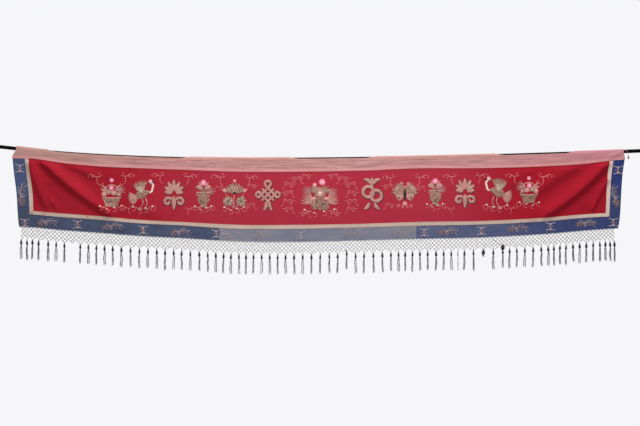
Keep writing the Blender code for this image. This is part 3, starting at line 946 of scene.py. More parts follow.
@dataclass
class Needlework:
    """Raised stitches, gathered in the front view in millimetres and then laid on the hanging cloth."""

    name: str
    origin: tuple[float, float] = (0.0, 0.0)
    size: float = 1.0
    flip: float = 1.0
    turn: float = 0.0
    front: float = -1 * MM
    scale_size: float = 11.0
    points: list[np.ndarray] = field(default_factory=list)
    faces: list[tuple[int, ...]] = field(default_factory=list)
    uvs: list[tuple[float, float]] = field(default_factory=list)
    threads: list[int] = field(default_factory=list)
    count: int = 0

    def place(
        self, across: float, height: float, size: float = 1.0, flip: bool = False, turn: float = 0.0
    ) -> None:
        """Sets where the next shapes go, their size, whether they are mirrored, and their turn in degrees."""
        self.origin = (across, height)
        self.size = size
        self.flip = -1.0 if flip else 1.0
        self.turn = math.radians(turn)

    def band(self, line: np.ndarray, half: np.ndarray | float, thread: Thread, lift: float = 2.0) -> None:
        """Adds a raised band of stitching along a line.

        Args:
            line: its middle line.
            half: half its width at each point.
            thread: its thread.
            lift: how far it stands off the cloth.
        """
        half = np.maximum(np.broadcast_to(half, len(line)), 0.25)
        ahead = np.gradient(line, axis=0)
        ahead /= np.maximum(np.linalg.norm(ahead, axis=1, keepdims=True), 1e-6)
        side = np.stack([-ahead[:, 1], ahead[:, 0]], axis=1)
        ring = ((-1.0, 0.1), (-0.72, 0.75), (0.0, 1.0), (0.72, 0.75), (1.0, 0.1), (0.0, -0.3))
        local = np.stack([line + side * (half[:, None] * out) for out, _ in ring], axis=1)
        local = local * self.size * np.array([self.flip, 1.0])
        cosine, sine = math.cos(self.turn), math.sin(self.turn)
        across = local[..., 0] * cosine - local[..., 1] * sine + self.origin[0]
        height = local[..., 0] * sine + local[..., 1] * cosine + self.origin[1]
        rise = np.broadcast_to(np.array([up for _, up in ring]) * lift, across.shape)
        self.points.append(np.stack([across, height, rise], axis=-1).reshape(-1, 3))
        steps = np.linalg.norm(np.diff(line, axis=0), axis=1)
        along = np.concatenate([[0.0], np.cumsum(steps)]) * self.size * MM
        out = np.array([out for out, _ in ring])[None, :] * half[:, None] * self.size * MM
        sides, first, thread_index = len(ring), self.count, THREADS.index(thread)
        for i in range(len(line) - 1):
            for k in range(sides):
                m = (k + 1) % sides
                a, b = first + i * sides, first + (i + 1) * sides
                self.faces.append((a + k, a + m, b + m, b + k))
                self.uvs += [(along[i], out[i, k]), (along[i], out[i, m]), (along[i + 1], out[i + 1, m])]
                self.uvs.append((along[i + 1], out[i + 1, k]))
        last = first + (len(line) - 1) * sides
        for start, end in ((first, 0), (last, -1)):
            cap = range(start, start + sides)
            self.faces.append(tuple(reversed(cap)) if end == 0 else tuple(cap))
            self.uvs += [(along[end], 0.0)] * sides
        self.threads += [thread_index] * ((len(line) - 1) * sides + 2)
        self.count += len(line) * sides

    def stroke(self, line: np.ndarray, width: float, thread: Thread, lift: float = 1.6) -> None:
        """A line of cord, narrowed at both ends."""
        t = np.linspace(0, 1, len(line))
        self.band(line, width / 2 * (0.35 + 0.65 * np.minimum(1, 6 * np.minimum(t, 1 - t))), thread, lift)

    def petal(
        self, root: tuple, tip: tuple, width: float, thread: Thread, bow: float = 0.0, lift: float = 2.4
    ) -> None:
        """A satin-stitched petal or leaf from its root to its tip."""
        line = bent(root, tip, bow, 8)
        t = np.linspace(0, 1, len(line))
        self.band(line, width / 2 * np.sin(math.pi * t**0.85) ** 0.7, thread, lift)

    def dot(self, middle: tuple[float, float], radius: float, thread: Thread, lift: float = 2.6) -> None:
        """A round knot or disc."""
        t = np.linspace(-0.99, 0.99, 8)
        line = np.stack([middle[0] + radius * t, np.full(8, middle[1])], axis=1)
        self.band(line, radius * np.sqrt(1 - t**2), thread, lift)

    def pad(self, profile: Sequence[tuple[float, float]], thread: Thread) -> None:
        """A filled upright shape.

        Args:
            profile: its heights and half-widths, from the foot up.
            thread: its thread.
        """
        rows = np.array(profile, float)
        heights = np.linspace(rows[0, 0], rows[-1, 0], 4 * len(rows))
        line = np.stack([np.zeros(len(heights)), heights], axis=1)
        self.band(line, np.interp(heights, rows[:, 0], rows[:, 1]), thread, 2.2)

    def fan(
        self,
        middle: tuple,
        inner: float,
        outer: float,
        angles: Iterable[float],
        width: float,
        thread: Thread,
        bow: float = 0.0,
    ) -> None:
        """Petals that spread from one point."""
        for degrees in angles:
            self.petal(polar(middle, inner, degrees), polar(middle, outer, degrees), width, thread, bow)

    def scales(self, middle: tuple[float, float], width: float, height: float) -> None:
        """Rows of small couched arcs over a filled shape."""
        size = self.scale_size
        rows = max(1, round(height / (size * 0.8)))
        for row in range(rows):
            level = middle[1] + height * ((row + 0.5) / rows - 0.5)
            room = width * (1 - 0.5 * abs((row + 0.5) / rows - 0.5))
            for k in range(max(1, round(room / size))):
                place = middle[0] + (k - (round(room / size) - 1) / 2) * size + (row % 2) * size / 2
                self.stroke(arc((place, level), size * 0.45, 200, 340, 4), 2.2, Thread.CORDED, 3.4)

    def bloom(
        self, middle: tuple[float, float], radius: float, outer: Thread, inner: Thread, petals: int = 8
    ) -> None:
        """A flower of two rounds of petals about a seeded eye."""
        step = 360 / petals
        self.fan(middle, radius * 0.2, radius, [k * step for k in range(petals)], radius * 0.62, outer)
        between = [(k + 0.5) * step for k in range(petals)]
        self.fan(middle, radius * 0.1, radius * 0.62, between, radius * 0.4, inner)
        self.dot(middle, radius * 0.2, Thread.PALE, 3.6)

    def lay(self) -> bpy.types.Object:
        """Lays all the gathered shapes on the hanging cloth as one piece."""
        flat = np.concatenate(self.points)
        across, height = flat[:, 0] * MM, flat[:, 1] * MM
        depth = FORM.depth(across, height) + self.front - flat[:, 2] * MM
        piece = gathered(self.name, np.stack([across, depth, height], axis=1), self.faces)
        cut = piece.data.uv_layers.new(name="cut")
        cut.data.foreach_set("uv", np.array(self.uvs, np.float32).ravel())
        piece.data.polygons.foreach_set("material_index", np.array(self.threads, np.int32))
        face_outwards(piece)
        shade(piece, 50)
        dress(piece, [thread.value for thread in THREADS])
        return piece


class Place(NamedTuple):
    """Where a motif is in the front view, in millimetres, with its size and whether it is mirrored."""

    across: float
    height: float
    size: float = 1.0
    flip: bool = False


@dataclass(frozen=True)
class Motifs:
    """Stock motifs of festive needlework. Each is drawn about its own middle, 245 mm high at size 1."""

    work: Needlework

    def curled_ground(self, half_width: float, level: float) -> None:
        """Bright knots over open rings under a motif, with thin curls between them."""
        work = self.work
        rings = ((-1.0, 8, 14, 6), (-0.35, -12, 12, 4.5), (0.3, -2, 15, 5.5), (1.0, 10, 18, 6))
        for share, drop, radius, knot in rings:
            middle = (share * half_width, level + drop - 8)
            work.stroke(arc(middle, radius, 210, 480, 14), 2.6, Thread.WISP)
            work.dot((middle[0] - 4, middle[1] + 14), knot, Thread.PALE, 3.2)
        for share in (-0.65, 0.7):
            middle = share * half_width
            work.stroke(bent((middle - 14, level + 6), (middle + 14, level - 6), 6), 3, Thread.BLUSH)

    def plume(self, root: tuple[float, float], side: float) -> None:
        """A faint feathered plume that leans away to one side."""
        for degrees, reach in ((78, 44), (58, 58), (38, 66), (18, 62), (-2, 50)):
            tip = polar(root, reach, degrees if side > 0 else 180 - degrees)
            self.work.petal(root, tip, 10, Thread.PLUME, side * 5, 1.8)

    def vase(self) -> None:
        """A footed vase of peonies on a curled stand."""
        work = self.work
        body = [(-84, 22), (-78, 24), (-70, 16), (-52, 36), (-30, 44), (-8, 38), (8, 20), (20, 13), (30, 20)]
        work.pad(body, Thread.COUCHED)
        work.scales((0, -32), 72, 56)
        for side in (-1, 1):
            work.stroke(spiral((side * 42, 6), 15, 90, side * 1.1), 5, Thread.CORDED)
            work.petal((side * 8, 26), (side * 62, 58), 17, Thread.COUCHED, side * 8)
            work.petal((side * 6, 30), (side * 40, 96), 14, Thread.CORDED, side * 6)
            work.petal((side * 10, 22), (side * 56, 24), 13, Thread.CORDED, side * -6)
            work.bloom((side * 34, 58), 17, Thread.BLUSH, Thread.COUCHED, 7)
            work.stroke(bent((side * 40, -88), (side * 12, -72), side * 5), 6, Thread.CORDED)
        work.bloom((0, 88), 24, Thread.ROSE, Thread.PALE)
        work.dot((0, 62), 7, Thread.BLACK, 3.8)
        work.dot((0, -58), 5, Thread.BLACK, 4.2)
        self.plume((30, 10), 1)
        self.curled_ground(58, -94)

    def crane(self) -> None:
        """A crane that stands with its wings half raised."""
        work = self.work
        work.petal((-58, -26), (46, 22), 54, Thread.COUCHED, 8)
        work.scales((-8, -2), 74, 34)
        work.fan((-40, -16), 8, 66, range(150, 236, 14), 15, Thread.CORDED, 5)
        work.fan((-6, 8), 6, 92, range(66, 140, 11), 17, Thread.COUCHED, 8)
        work.fan((-6, 10), 4, 58, range(72, 136, 12), 10, Thread.PALE, 6)
        neck = np.concatenate([bent((36, 14), (62, 42), -10), bent((62, 42), (48, 84), -12)[1:]])
        work.stroke(neck, 13, Thread.PALE)
        work.dot((49, 90), 12, Thread.PALE, 3.4)
        work.dot((45, 98), 6.5, Thread.ROSE, 4)
        work.dot((54, 88), 4, Thread.BLACK, 4.4)
        work.stroke(bent((58, 90), (86, 84), 2), 5, Thread.BLACK, 2.4)
        for root, knee, foot in (((-6, -24), (0, -58), (-16, -88)), ((14, -20), (28, -54), (20, -88))):
            work.stroke(bent(root, knee), 7, Thread.CORDED)
            work.stroke(bent(knee, foot), 5, Thread.CORDED)
            work.fan(foot, 0, 20, (200, 250, 300), 6, Thread.CORDED)
        self.curled_ground(66, -96)

    def butterfly(self) -> None:
        """A butterfly with patterned wings over a curled spray."""
        work = self.work
        for side in (-1, 1):
            middle = (side * 6, 8)
            upper = [90 - side * a for a in range(18, 84, 13)]
            lower = [90 - side * a for a in range(100, 152, 13)]
            work.fan(middle, 8, 96, upper, 25, Thread.COUCHED, side * -4)
            work.fan(middle, 8, 52, upper, 15, Thread.CORDED, side * -3)
            work.fan(middle, 8, 68, lower, 22, Thread.CORDED, side * -4)
            work.bloom(polar(middle, 66, 90 - side * 48), 14, Thread.BLUSH, Thread.PALE, 6)
            work.dot(polar(middle, 50, 90 - side * 126), 7, Thread.BLACK, 3.8)
            work.stroke(spiral((side * 26, 82), 12, 180 if side > 0 else 0, side * -1.2), 3.5, Thread.PALE)
            work.stroke(bent((side * 2, 44), (side * 16, 74), side * 4), 3.5, Thread.PALE)
        work.petal((0, -42), (0, 50), 20, Thread.BLACK, 0, 4)
        work.fan((0, -44), 2, 40, (246, 270, 294), 14, Thread.BLUSH)
        curls = ((-46, -82, 14, 1), (46, -82, 14, -1), (-16, -92, 10, 1), (18, -92, 10, -1))
        for across, height, radius, side in curls:
            work.stroke(spiral((across, height), radius, 90 - side * 90, side * 1.3), 4, Thread.WISP)

    def lotus(self) -> None:
        """A lotus over two broad leaves and water curls."""
        work = self.work
        work.stroke(bent((0, -90), (0, 20), 6), 7, Thread.CORDED)
        for side in (-1, 1):
            leaf = (side * 46, -38)
            work.fan(leaf, 4, 38, range(0, 360, 30), 21, Thread.COUCHED)
            work.fan(leaf, 6, 30, range(15, 375, 60), 5, Thread.PALE)
            work.dot(leaf, 7, Thread.BLACK, 4.2)
            work.stroke(bent((side * 8, -88), (side * 40, -60), side * 8), 6, Thread.CORDED)
            work.stroke(bent((side * 4, -60), (side * 66, 26), side * -10), 4.5, Thread.CORDED)
            work.fan((side * 66, 24), 0, 30, [90 - side * a for a in (-20, 10, 40)], 14, Thread.BLUSH)
        work.fan((0, 18), 8, 76, range(20, 161, 20), 26, Thread.COUCHED)
        work.fan((0, 18), 8, 60, range(40, 141, 20), 17, Thread.PALE)
        work.fan((0, 26), 4, 44, (62, 90, 118), 16, Thread.BLUSH)
        work.dot((0, 22), 11, Thread.BLACK, 3.8)
        work.bloom((0, 104), 13, Thread.ROSE, Thread.PALE, 6)
        self.curled_ground(68, -94)

    def basket(self) -> None:
        """A woven basket heaped with blossom, under a tied handle."""
        work = self.work
        work.pad([(-88, 34), (-80, 42), (-60, 46), (-34, 60), (-24, 64)], Thread.COUCHED)
        work.scales((0, -56), 104, 56)
        work.stroke(bent((-68, -22), (68, -22), -5, 12), 9, Thread.CORDED, 2.6)
        handle = arc((0, -22), 64, 176, 4, 22) * np.array([1.0, 1.35]) + np.array([0, 8])
        work.stroke(handle, 7, Thread.CORDED)
        for across, height, radius, thread in (
            (-52, 0, 19, Thread.BLUSH),
            (-22, 14, 22, Thread.COUCHED),
            (14, 10, 21, Thread.BLUSH),
            (48, 0, 20, Thread.COUCHED),
            (-2, 42, 20, Thread.ROSE),
        ):
            heart = Thread.PALE if thread is Thread.ROSE else Thread.CORDED
            work.bloom((across, height), radius, thread, heart, 7)
        work.fan((0, 8), 30, 84, (22, 40, 140, 158), 15, Thread.CORDED, 4)
        work.bloom((0, 96), 17, Thread.ROSE, Thread.PALE, 7)
        work.dot((-12, -50), 6, Thread.BLACK, 4.2)
        work.dot((24, 28), 5, Thread.BLACK, 4.2)
        for side in (-1, 1):
            work.stroke(spiral((side * 70, 64), 15, 90, side * 1.1), 3.5, Thread.WISP)
        self.plume((44, 10), 1)
        self.curled_ground(72, -98)

    def peony_rock(self) -> None:
        """A great peony over a garden rock, with plumes of grass at both sides."""
        work = self.work
        for across, height, width, rise in ((-34, -88, 46, 70), (4, -92, 58, 100), (44, -90, 44, 62)):
            work.petal((across, height), (across * 0.8, height + rise), width, Thread.COUCHED, 4)
            work.scales((across * 0.9, height + rise * 0.45), width * 0.8, rise * 0.6)
        for side in (-1, 1):
            grass = [90 - side * a for a in range(22, 100, 12)]
            work.fan((side * 34, -34), 10, 92, grass, 9, Thread.CORDED, side * -9)
            blades = [90 - side * a for a in (12, 34, 56)]
            work.fan((side * 20, 10), 6, 66, blades, 19, Thread.COUCHED, side * 6)
            work.petal((side * 22, -16), (side * 64, -24), 20, Thread.BLUSH, side * 6)
        work.bloom((0, 22), 42, Thread.COUCHED, Thread.BLUSH, 10)
        work.bloom((0, 22), 20, Thread.PALE, Thread.ROSE, 7)
        work.bloom((14, 92), 23, Thread.ROSE, Thread.PALE, 9)
        work.bloom((-34, 74), 15, Thread.BLUSH, Thread.PALE, 7)
        work.dot((-22, -30), 6, Thread.BLACK, 4)
        work.dot((26, -48), 6, Thread.BLACK, 4)
        self.plume((-60, 20), -1)
        self.plume((60, 10), 1)
        self.curled_ground(96, -100)

    def outlined_with_shadow(self, line: np.ndarray, half: np.ndarray | float) -> None:
        """A bold band of couched cord over a dark outline, offset down and right as its painted shadow."""
        self.work.band(line + np.array([2.0, -2.0]), np.asarray(half) + 3.0, Thread.OUTLINE_AND_SHADOW, 1.2)
        self.work.band(line, half, Thread.CORDED, 2.2)

    def outlined_leaf_with_shadow(
        self, root: tuple[float, float], tip: tuple[float, float], width: float, bow: float = 0.0
    ) -> None:
        """A bold leaf over a dark outline with its painted shadow."""
        line = bent(root, tip, bow, 9)
        t = np.linspace(0, 1, len(line))
        self.outlined_with_shadow(line, width / 2 * (0.25 + 0.75 * np.sin(math.pi * np.minimum(1, t * 0.85 + 0.12))))

    def knot_ornament(self) -> None:
        """An interlaced knot on its point, with a loop above and two tails."""
        for k in (-1, 0, 1):
            slant = np.array([[-42.0, -42.0], [42.0, 42.0]]) + np.array([k * 24.0, -k * 24.0])
            self.outlined_with_shadow(np.linspace(slant[0], slant[1], 7), 8)
        for k in (-1, 0, 1):
            slant = np.array([[-42.0, 42.0], [42.0, -42.0]]) + np.array([k * 24.0, k * 24.0])
            self.outlined_with_shadow(np.linspace(slant[0], slant[1], 7), 8)
        self.outlined_with_shadow(arc((0, 78), 21, -60, 240, 16), 9)
        for side in (-1, 1):
            self.outlined_with_shadow(arc((side * 66, 0), 20, 135 if side > 0 else 45, -135 if side > 0 else 315, 12), 8)
            self.outlined_leaf_with_shadow((side * 12, -58), (side * 30, -112), 26, side * -6)

    def palmette_ornament(self) -> None:
        """A fan of seven leaves over two scrolls."""
        for degrees, reach in ((90, 92), (62, 88), (118, 88), (34, 78), (146, 78), (8, 64), (172, 64)):
            self.outlined_leaf_with_shadow(polar((0, 2), 16, degrees), polar((0, 2), reach, degrees), 30)
        for side in (-1, 1):
            self.outlined_with_shadow(spiral((side * 42, -58), 31, 90 + side * 60, side * -1.0, 18), 10)
        self.outlined_leaf_with_shadow((0, -20), (0, -110), 32)

    def rings_ornament(self) -> None:
        """Two linked rings on a ribbon with a bow."""
        self.outlined_with_shadow(arc((-26, 12), 38, 0, 350, 24), 12)
        self.outlined_with_shadow(arc((30, -16), 38, 185, 530, 24), 12)
        for side in (-1, 1):
            self.outlined_leaf_with_shadow((side * 4, 66), (side * 58, 100), 29, side * 10)
            self.outlined_leaf_with_shadow((side * 22, -66), (side * 56, -110), 27, side * -10)
        self.outlined_leaf_with_shadow((0, 50), (0, 112), 29)

    def wisp(self) -> None:
        """A cloud wisp with a curled end and a long trailing tail."""
        work, line = self.work, Thread.WISP
        work.stroke(np.concatenate([bent((-46, 8), (-8, 0), 7), bent((-8, 0), (46, 10), -9)[1:]]), 3.8, line)
        work.stroke(np.concatenate([bent((2, 0), (8, -32), 5), bent((8, -32), (30, -60), -6)[1:]]), 3.2, line)
        work.stroke(spiral((-46, -1), 9, 90, 0.8, 8), 3.2, line)
        work.stroke(bent((-10, 0), (-26, -16), -4), 3.2, line)
        work.stroke(bent((22, 8), (34, 24), 4), 3.0, line)

    def tendril(self) -> None:
        """A long swirling thread that ends in two curls."""
        work, line = self.work, Thread.WISP
        work.stroke(spiral((-20, 8), 18, -20, 1.2, 14), 3.2, line)
        work.stroke(spiral((20, -8), 17, 160, -1.2, 14), 3.2, line)
        work.stroke(np.concatenate([bent((-4, 2), (26, 18), 7), bent((26, 18), (62, 12), -8)[1:]]), 3.0, line)
        work.stroke(bent((-34, -6), (-52, -34), 8), 3.0, line)

    def bouquet(self, thread: Thread) -> None:
        """An even little filigree of crossed stems about a flower, for the border."""
        work = self.work
        pale = Thread.FILIGREE if thread is Thread.SPRAY else thread
        for side in (-1, 1):
            work.stroke(bent((side * 3, 4), (side * 30, 26), side * 6), 3.4, thread)
            work.stroke(bent((side * 3, -6), (side * 30, -26), side * -6), 3.4, thread)
            work.stroke(spiral((side * 25, 21), 7, 90, side * 1.0, 7), 2.6, pale)
            work.stroke(spiral((side * 25, -24), 7, 90, side * 1.0, 7), 2.6, pale)
            work.stroke(bent((side * 8, 0), (side * 22, 4), side * -4), 3.0, pale)
        work.fan((0, 9), 0, 15, (50, 90, 130), 7, thread)
        work.petal((0, 12), (0, -22), 11, Thread.EMBER if thread is Thread.SPRAY else thread)
        work.fan((0, -14), 0, 14, (230, 270, 310), 7, thread)

    def spray(self, thread: Thread) -> None:
        """A flowering branch of thin lines that lies along the border, with its bloom at one end."""
        work = self.work
        ember = Thread.EMBER if thread is Thread.SPRAY else thread
        if ember is Thread.EMBER:
            # Broad flat dark violet petals under the branch paint its shade.
            for middle, reach in (((-30, 0), 34), ((10, 2), 28), ((40, 0), 26)):
                ends = ((middle[0] - reach, middle[1]), (middle[0] + reach, middle[1]))
                work.petal(*ends, 30, Thread.SPRAY_SHADE, 0, 0.9)
        work.stroke(np.concatenate([bent((-50, -8), (4, 4), 8), bent((4, 4), (76, -8), 13)[1:]]), 3.2, thread)
        for root, tip, bow in (
            ((-22, 2), (-34, 24), 4),
            ((-8, 5), (12, 27), -5),
            ((10, 9), (44, 24), 5),
            ((12, 8), (-6, -20), 5),
            ((34, 10), (68, 16), -4),
            ((44, 4), (66, -26), -4),
            ((-20, 0), (-4, -24), 4),
            ((26, 10), (24, -16), 4),
        ):
            work.stroke(bent(root, tip, bow), 2.9, thread)
        for middle, reach in (((-48, -6), 20), ((-26, 12), 10), ((-30, -14), 10)):
            work.fan(middle, 2, reach, range(20, 380, 60), 5, ember)
        work.fan((-8, 0), 1, 11, range(0, 360, 72), 5, thread)


PANEL_MOTIFS = (
    (Motifs.basket, Place(-1424, -240, 0.98)),
    (Motifs.crane, Place(-1208, -244, 1.0)),
    (Motifs.vase, Place(-796, -248, 0.96)),
    (Motifs.lotus, Place(-584, -252, 0.98)),
    (Motifs.peony_rock, Place(0, -256, 1.06)),
    (Motifs.butterfly, Place(580, -246, 0.92)),
    (Motifs.vase, Place(788, -234, 0.93)),
    (Motifs.crane, Place(1206, -230, 1.05, True)),
    (Motifs.basket, Place(1428, -220, 0.92, True)),
)
ORNAMENTS = (
    (Motifs.palmette_ornament, Place(-998, -236, 0.98)),
    (Motifs.knot_ornament, Place(-356, -244, 0.95)),
    (Motifs.rings_ornament, Place(356, -236, 0.96)),
    (Motifs.palmette_ornament, Place(992, -224, 0.98)),
)


def mirrored(places: Sequence[Place]) -> tuple[Place, ...]:
    """The places and their mirror images about the middle of the cloth."""
    across = [place._replace(across=-place.across, flip=not place.flip) for place in places]
    return (*places, *across)


WISPS = mirrored(
    (
        Place(-1534, -118, 1.0),
        Place(-1320, -114, 0.95, True),
        Place(-1102, -112, 0.9),
        Place(-892, -118, 0.95, True),
        Place(-690, -122, 1.0),
        Place(-474, -126, 0.9, True),
        Place(-1314, -334, 0.7),
        Place(-892, -340, 0.7, True),
    )
)
TENDRILS = mirrored(
    (
        Place(-96, -120, 0.8),
        Place(-156, -140, 0.9, True),
        Place(-214, -178, 0.9),
        Place(-216, -236, 0.9, True),
        Place(-220, -294, 0.9),
        Place(-210, -346, 0.8, True),
        Place(-468, -190, 0.8),
        Place(-472, -320, 0.8, True),
        Place(-690, -200, 0.7),
        Place(-100, -376, 0.8, True),
    )
)


class BorderMotif(NamedTuple):
    """A motif on the border: its place in mm, turn in degrees, and whether it is a long spray."""

    across: float
    height: float
    turn: float
    long: bool
    worn: bool = False
    size: float = 1.08


BORDER_MOTIFS = (
    BorderMotif(-2052, -62, 0, False),
    BorderMotif(-2038, -246, 82, True, size=1.2),
    BorderMotif(-2018, -436, 0, False),
    BorderMotif(-1870, -432, 0, True),
    BorderMotif(-1658, -446, 0, False),
    BorderMotif(-1424, -462, 0, True),
    BorderMotif(-1209, -484, 0, False),
    BorderMotif(-960, -500, 0, True),
    BorderMotif(-710, -510, 0, False),
    BorderMotif(-650, -514, 90, False, True),
    BorderMotif(-397, -520, 0, True, True),
    BorderMotif(-130, -520, 0, False, True),
    BorderMotif(240, -512, 0, True, True),
    BorderMotif(560, -504, 0, True, True),
    BorderMotif(712, -500, 0, False),
    BorderMotif(872, -496, 0, True),
    BorderMotif(1104, -490, 0, False),
    BorderMotif(1350, -474, 0, True),
    BorderMotif(1576, -460, 0, False),
    BorderMotif(1815, -440, 0, True),
    BorderMotif(2006, -432, 0, False),
    BorderMotif(2038, -74, 0, False),
    BorderMotif(2018, -258, 98, True, size=1.15),
)


class Embroidery:
    """All the raised stitching on the panel and the border."""

    def build_panel(self) -> list[bpy.types.Object]:
        """Stitches the motifs, ornaments and fine lines of the panel."""
        pieces = []
        for number, (motif, place) in enumerate(PANEL_MOTIFS + ORNAMENTS):
            work = Needlework(f"stitching_{motif.__name__}_{number}")
            work.place(*place)
            motif(Motifs(work))
            pieces.append(work.lay())
        lines = Needlework("stitching_fine_lines")
        for motif, places in ((Motifs.wisp, WISPS), (Motifs.tendril, TENDRILS)):
            for place in places:
                lines.place(*place)
                motif(Motifs(lines))
        pieces.append(lines.lay())
        return pieces

    def build_border(self) -> None:
        """Stitches the bouquets and sprays of the border."""
        work = Needlework("stitching_border")
        for motif in BORDER_MOTIFS:
            work.place(motif.across, motif.height, motif.size, turn=motif.turn)
            thread = Thread.WORN_SPRAY if motif.worn else Thread.SPRAY
            if motif.long:
                Motifs(work).spray(thread)
            else:
                Motifs(work).bouquet(thread)
        work.lay()


@dataclass
class Rod:
    """The black rod: a tube of lacquered steel that sags a little between what holds it."""

    length: float = 4450 * MM
    radius: float = 12.5 * MM
    sides: int = 40
    rings: int = 90
    edge: float = 1.2 * MM

    def build(self) -> None:
        """Builds the rod from a cylinder, cut into rings and bent to its line."""
        deselect()
        bpy.ops.mesh.primitive_cylinder_add(
            vertices=self.sides, radius=self.radius, depth=self.length, rotation=(0, math.pi / 2, 0)
        )
        rod = bpy.context.active_object
        rod.name = rod.data.name = "lacquered_rod"
        bpy.ops.object.transform_apply(location=True, rotation=True, scale=True)
        bpy.ops.object.mode_set(mode="EDIT")
        for k in range(1, self.rings):
            bpy.ops.mesh.select_all(action="SELECT")
            place = self.length * (k / self.rings - 0.5)
            bpy.ops.mesh.bisect(plane_co=(place, 0, 0), plane_no=(1, 0, 0))
        bpy.ops.object.mode_set(mode="OBJECT")
        sharp = math.radians(60)
        apply_modifier(rod, "BEVEL", width=self.edge, segments=2, limit_method="ANGLE", angle_limit=sharp)
        points = np.empty((len(rod.data.vertices), 3), np.float32)
        rod.data.vertices.foreach_get("co", points.ravel())
        points[:, 2] += FORM.rod_height(points[:, 0].astype(float))
        set_points(rod, points)
        shade(rod, 40)
        dress(rod, [Lacquer()])
        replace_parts(rod, "rod")


@dataclass
class Heading:
    """The pink strip: its lower edge laps the panel, and four stretches of it are turned over the rod."""

    thickness: float = 1.5 * MM
    left_lean: float = 28 * MM
    right_lean: float = 10 * MM
    back_leaf: float = 45 * MM
    hold_ramp: float = 70 * MM
    shown_at_hold: float = 0.5 * MM
    column: float = 9 * MM
    front_rows: int = 15
    turn_rows: int = 12
    back_rows: int = 6
    ripple: float = 1.6 * MM
    finish: WovenCloth = PINK_COTTON

    def rod_shown(self, across: np.ndarray) -> np.ndarray:
        """How much of the rod stands above the heading's top edge."""
        shown = np.full(across.shape, self.shown_at_hold)
        for hold, after in zip(HOLDS, HOLDS[1:]):
            nearer = np.minimum(across - hold.end * MM, after.start * MM - across)
            more = (hold.shown_after * MM - self.shown_at_hold) * smooth(nearer / self.hold_ramp)
            shown += np.where(nearer > 0, more, 0.0)
        return shown

    def leaned(self, cut_across: np.ndarray, height: np.ndarray) -> np.ndarray:
        """Where a point of the heading hangs: its two ends lean in towards the rod."""
        lower = FORM.seam("seam", cut_across)
        rise = smooth((height - lower) / (FORM.rod_height(cut_across) - lower))
        left = 1 - smooth((cut_across - HOLDS[0].start * MM) / FORM.lean_reach)
        right = 1 - smooth((HOLDS[-1].end * MM - cut_across) / FORM.lean_reach)
        return cut_across + rise * (left * self.left_lean - right * self.right_lean)

    def bulge(self, across: np.ndarray, share: np.ndarray) -> np.ndarray:
        """How far the front leaf stands proud, from its lower edge (0) to its top (1)."""
        x = across / MM
        streaks = np.sin(x / 83 + 5 * share) + 0.6 * np.sin(x / 31 - 9 * share + 2 * np.sin(x / 210))
        pulls = 3.6 * bell(np.sin((x - 1900) / 34 - 3.4 * share), 1, 0.4) * smooth((x - 1680) / 200)
        pulls += 1.6 * bell(np.sin((x + 1960) / 40 + 3.0 * share), 1, 0.5) * smooth((-1850 - x) / 120)
        loose = np.sin(math.pi * np.clip(share, 0, 1)) ** 0.8
        return loose * (self.ripple * (1.1 + 0.6 * streaks) + pulls * MM)

    def build(self) -> None:
        """Builds the heading from one grid, cut away behind the rod where it isn't turned over."""
        marks = [mark * MM for hold in HOLDS for mark in (hold.start, hold.end)]
        columns = columns_between(marks, [self.column] * (len(marks) - 1))
        outer = FORM.rod_radius + FORM.rod_clearance + self.thickness
        axis, lower = FORM.rod_height(columns), FORM.seam("seam", columns)
        edge_turn = np.arcsin((FORM.rod_radius - self.rod_shown(columns)) / outer)
        rows = []
        for share in np.linspace(0, 1, self.front_rows):
            level = lower + (axis - lower) * share
            rows.append((-outer - self.bulge(columns, np.full(len(columns), share * 0.94)), level))
        first_open = self.front_rows + self.turn_rows // 4
        first_late = first_open - self.front_rows + 1
        for k in range(1, self.turn_rows + 1):
            early = edge_turn * min(1.0, k / first_late)
            late = max(0.0, (k - first_late) / (self.turn_rows - first_late))
            turn = early + (math.pi - edge_turn) * late
            rows.append((-outer * np.cos(turn), axis + outer * np.sin(turn)))
        for share in np.linspace(0, 1, self.back_rows + 1)[1:]:
            rows.append((np.full(len(columns), outer), axis - self.back_leaf * share))
        depth = np.stack([row[0] for row in rows])
        height = np.stack([row[1] for row in rows])
        grid = np.broadcast_to(columns, height.shape)
        across = self.leaned(grid, np.minimum(height, axis))
        points = np.stack([across, depth, height], axis=-1)
        steps = np.hypot(np.diff(depth, axis=0), np.diff(height, axis=0))
        up = np.concatenate([np.zeros((1, len(columns))), np.cumsum(steps, axis=0)])
        middles = (columns[1:] + columns[:-1]) / 2
        held = np.zeros(len(middles), bool)
        for hold in HOLDS:
            held |= (hold.start * MM < middles) & (middles < hold.end * MM)
        open_cells = np.zeros((len(rows) - 1, len(columns) - 1), bool)
        open_cells[first_open:, :] = ~held
        sheet = hung_sheet("cloth_heading", points, np.stack([grid, up], axis=-1), self.thickness, open_cells)
        dress(sheet, [self.finish])
        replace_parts(sheet, "heading")


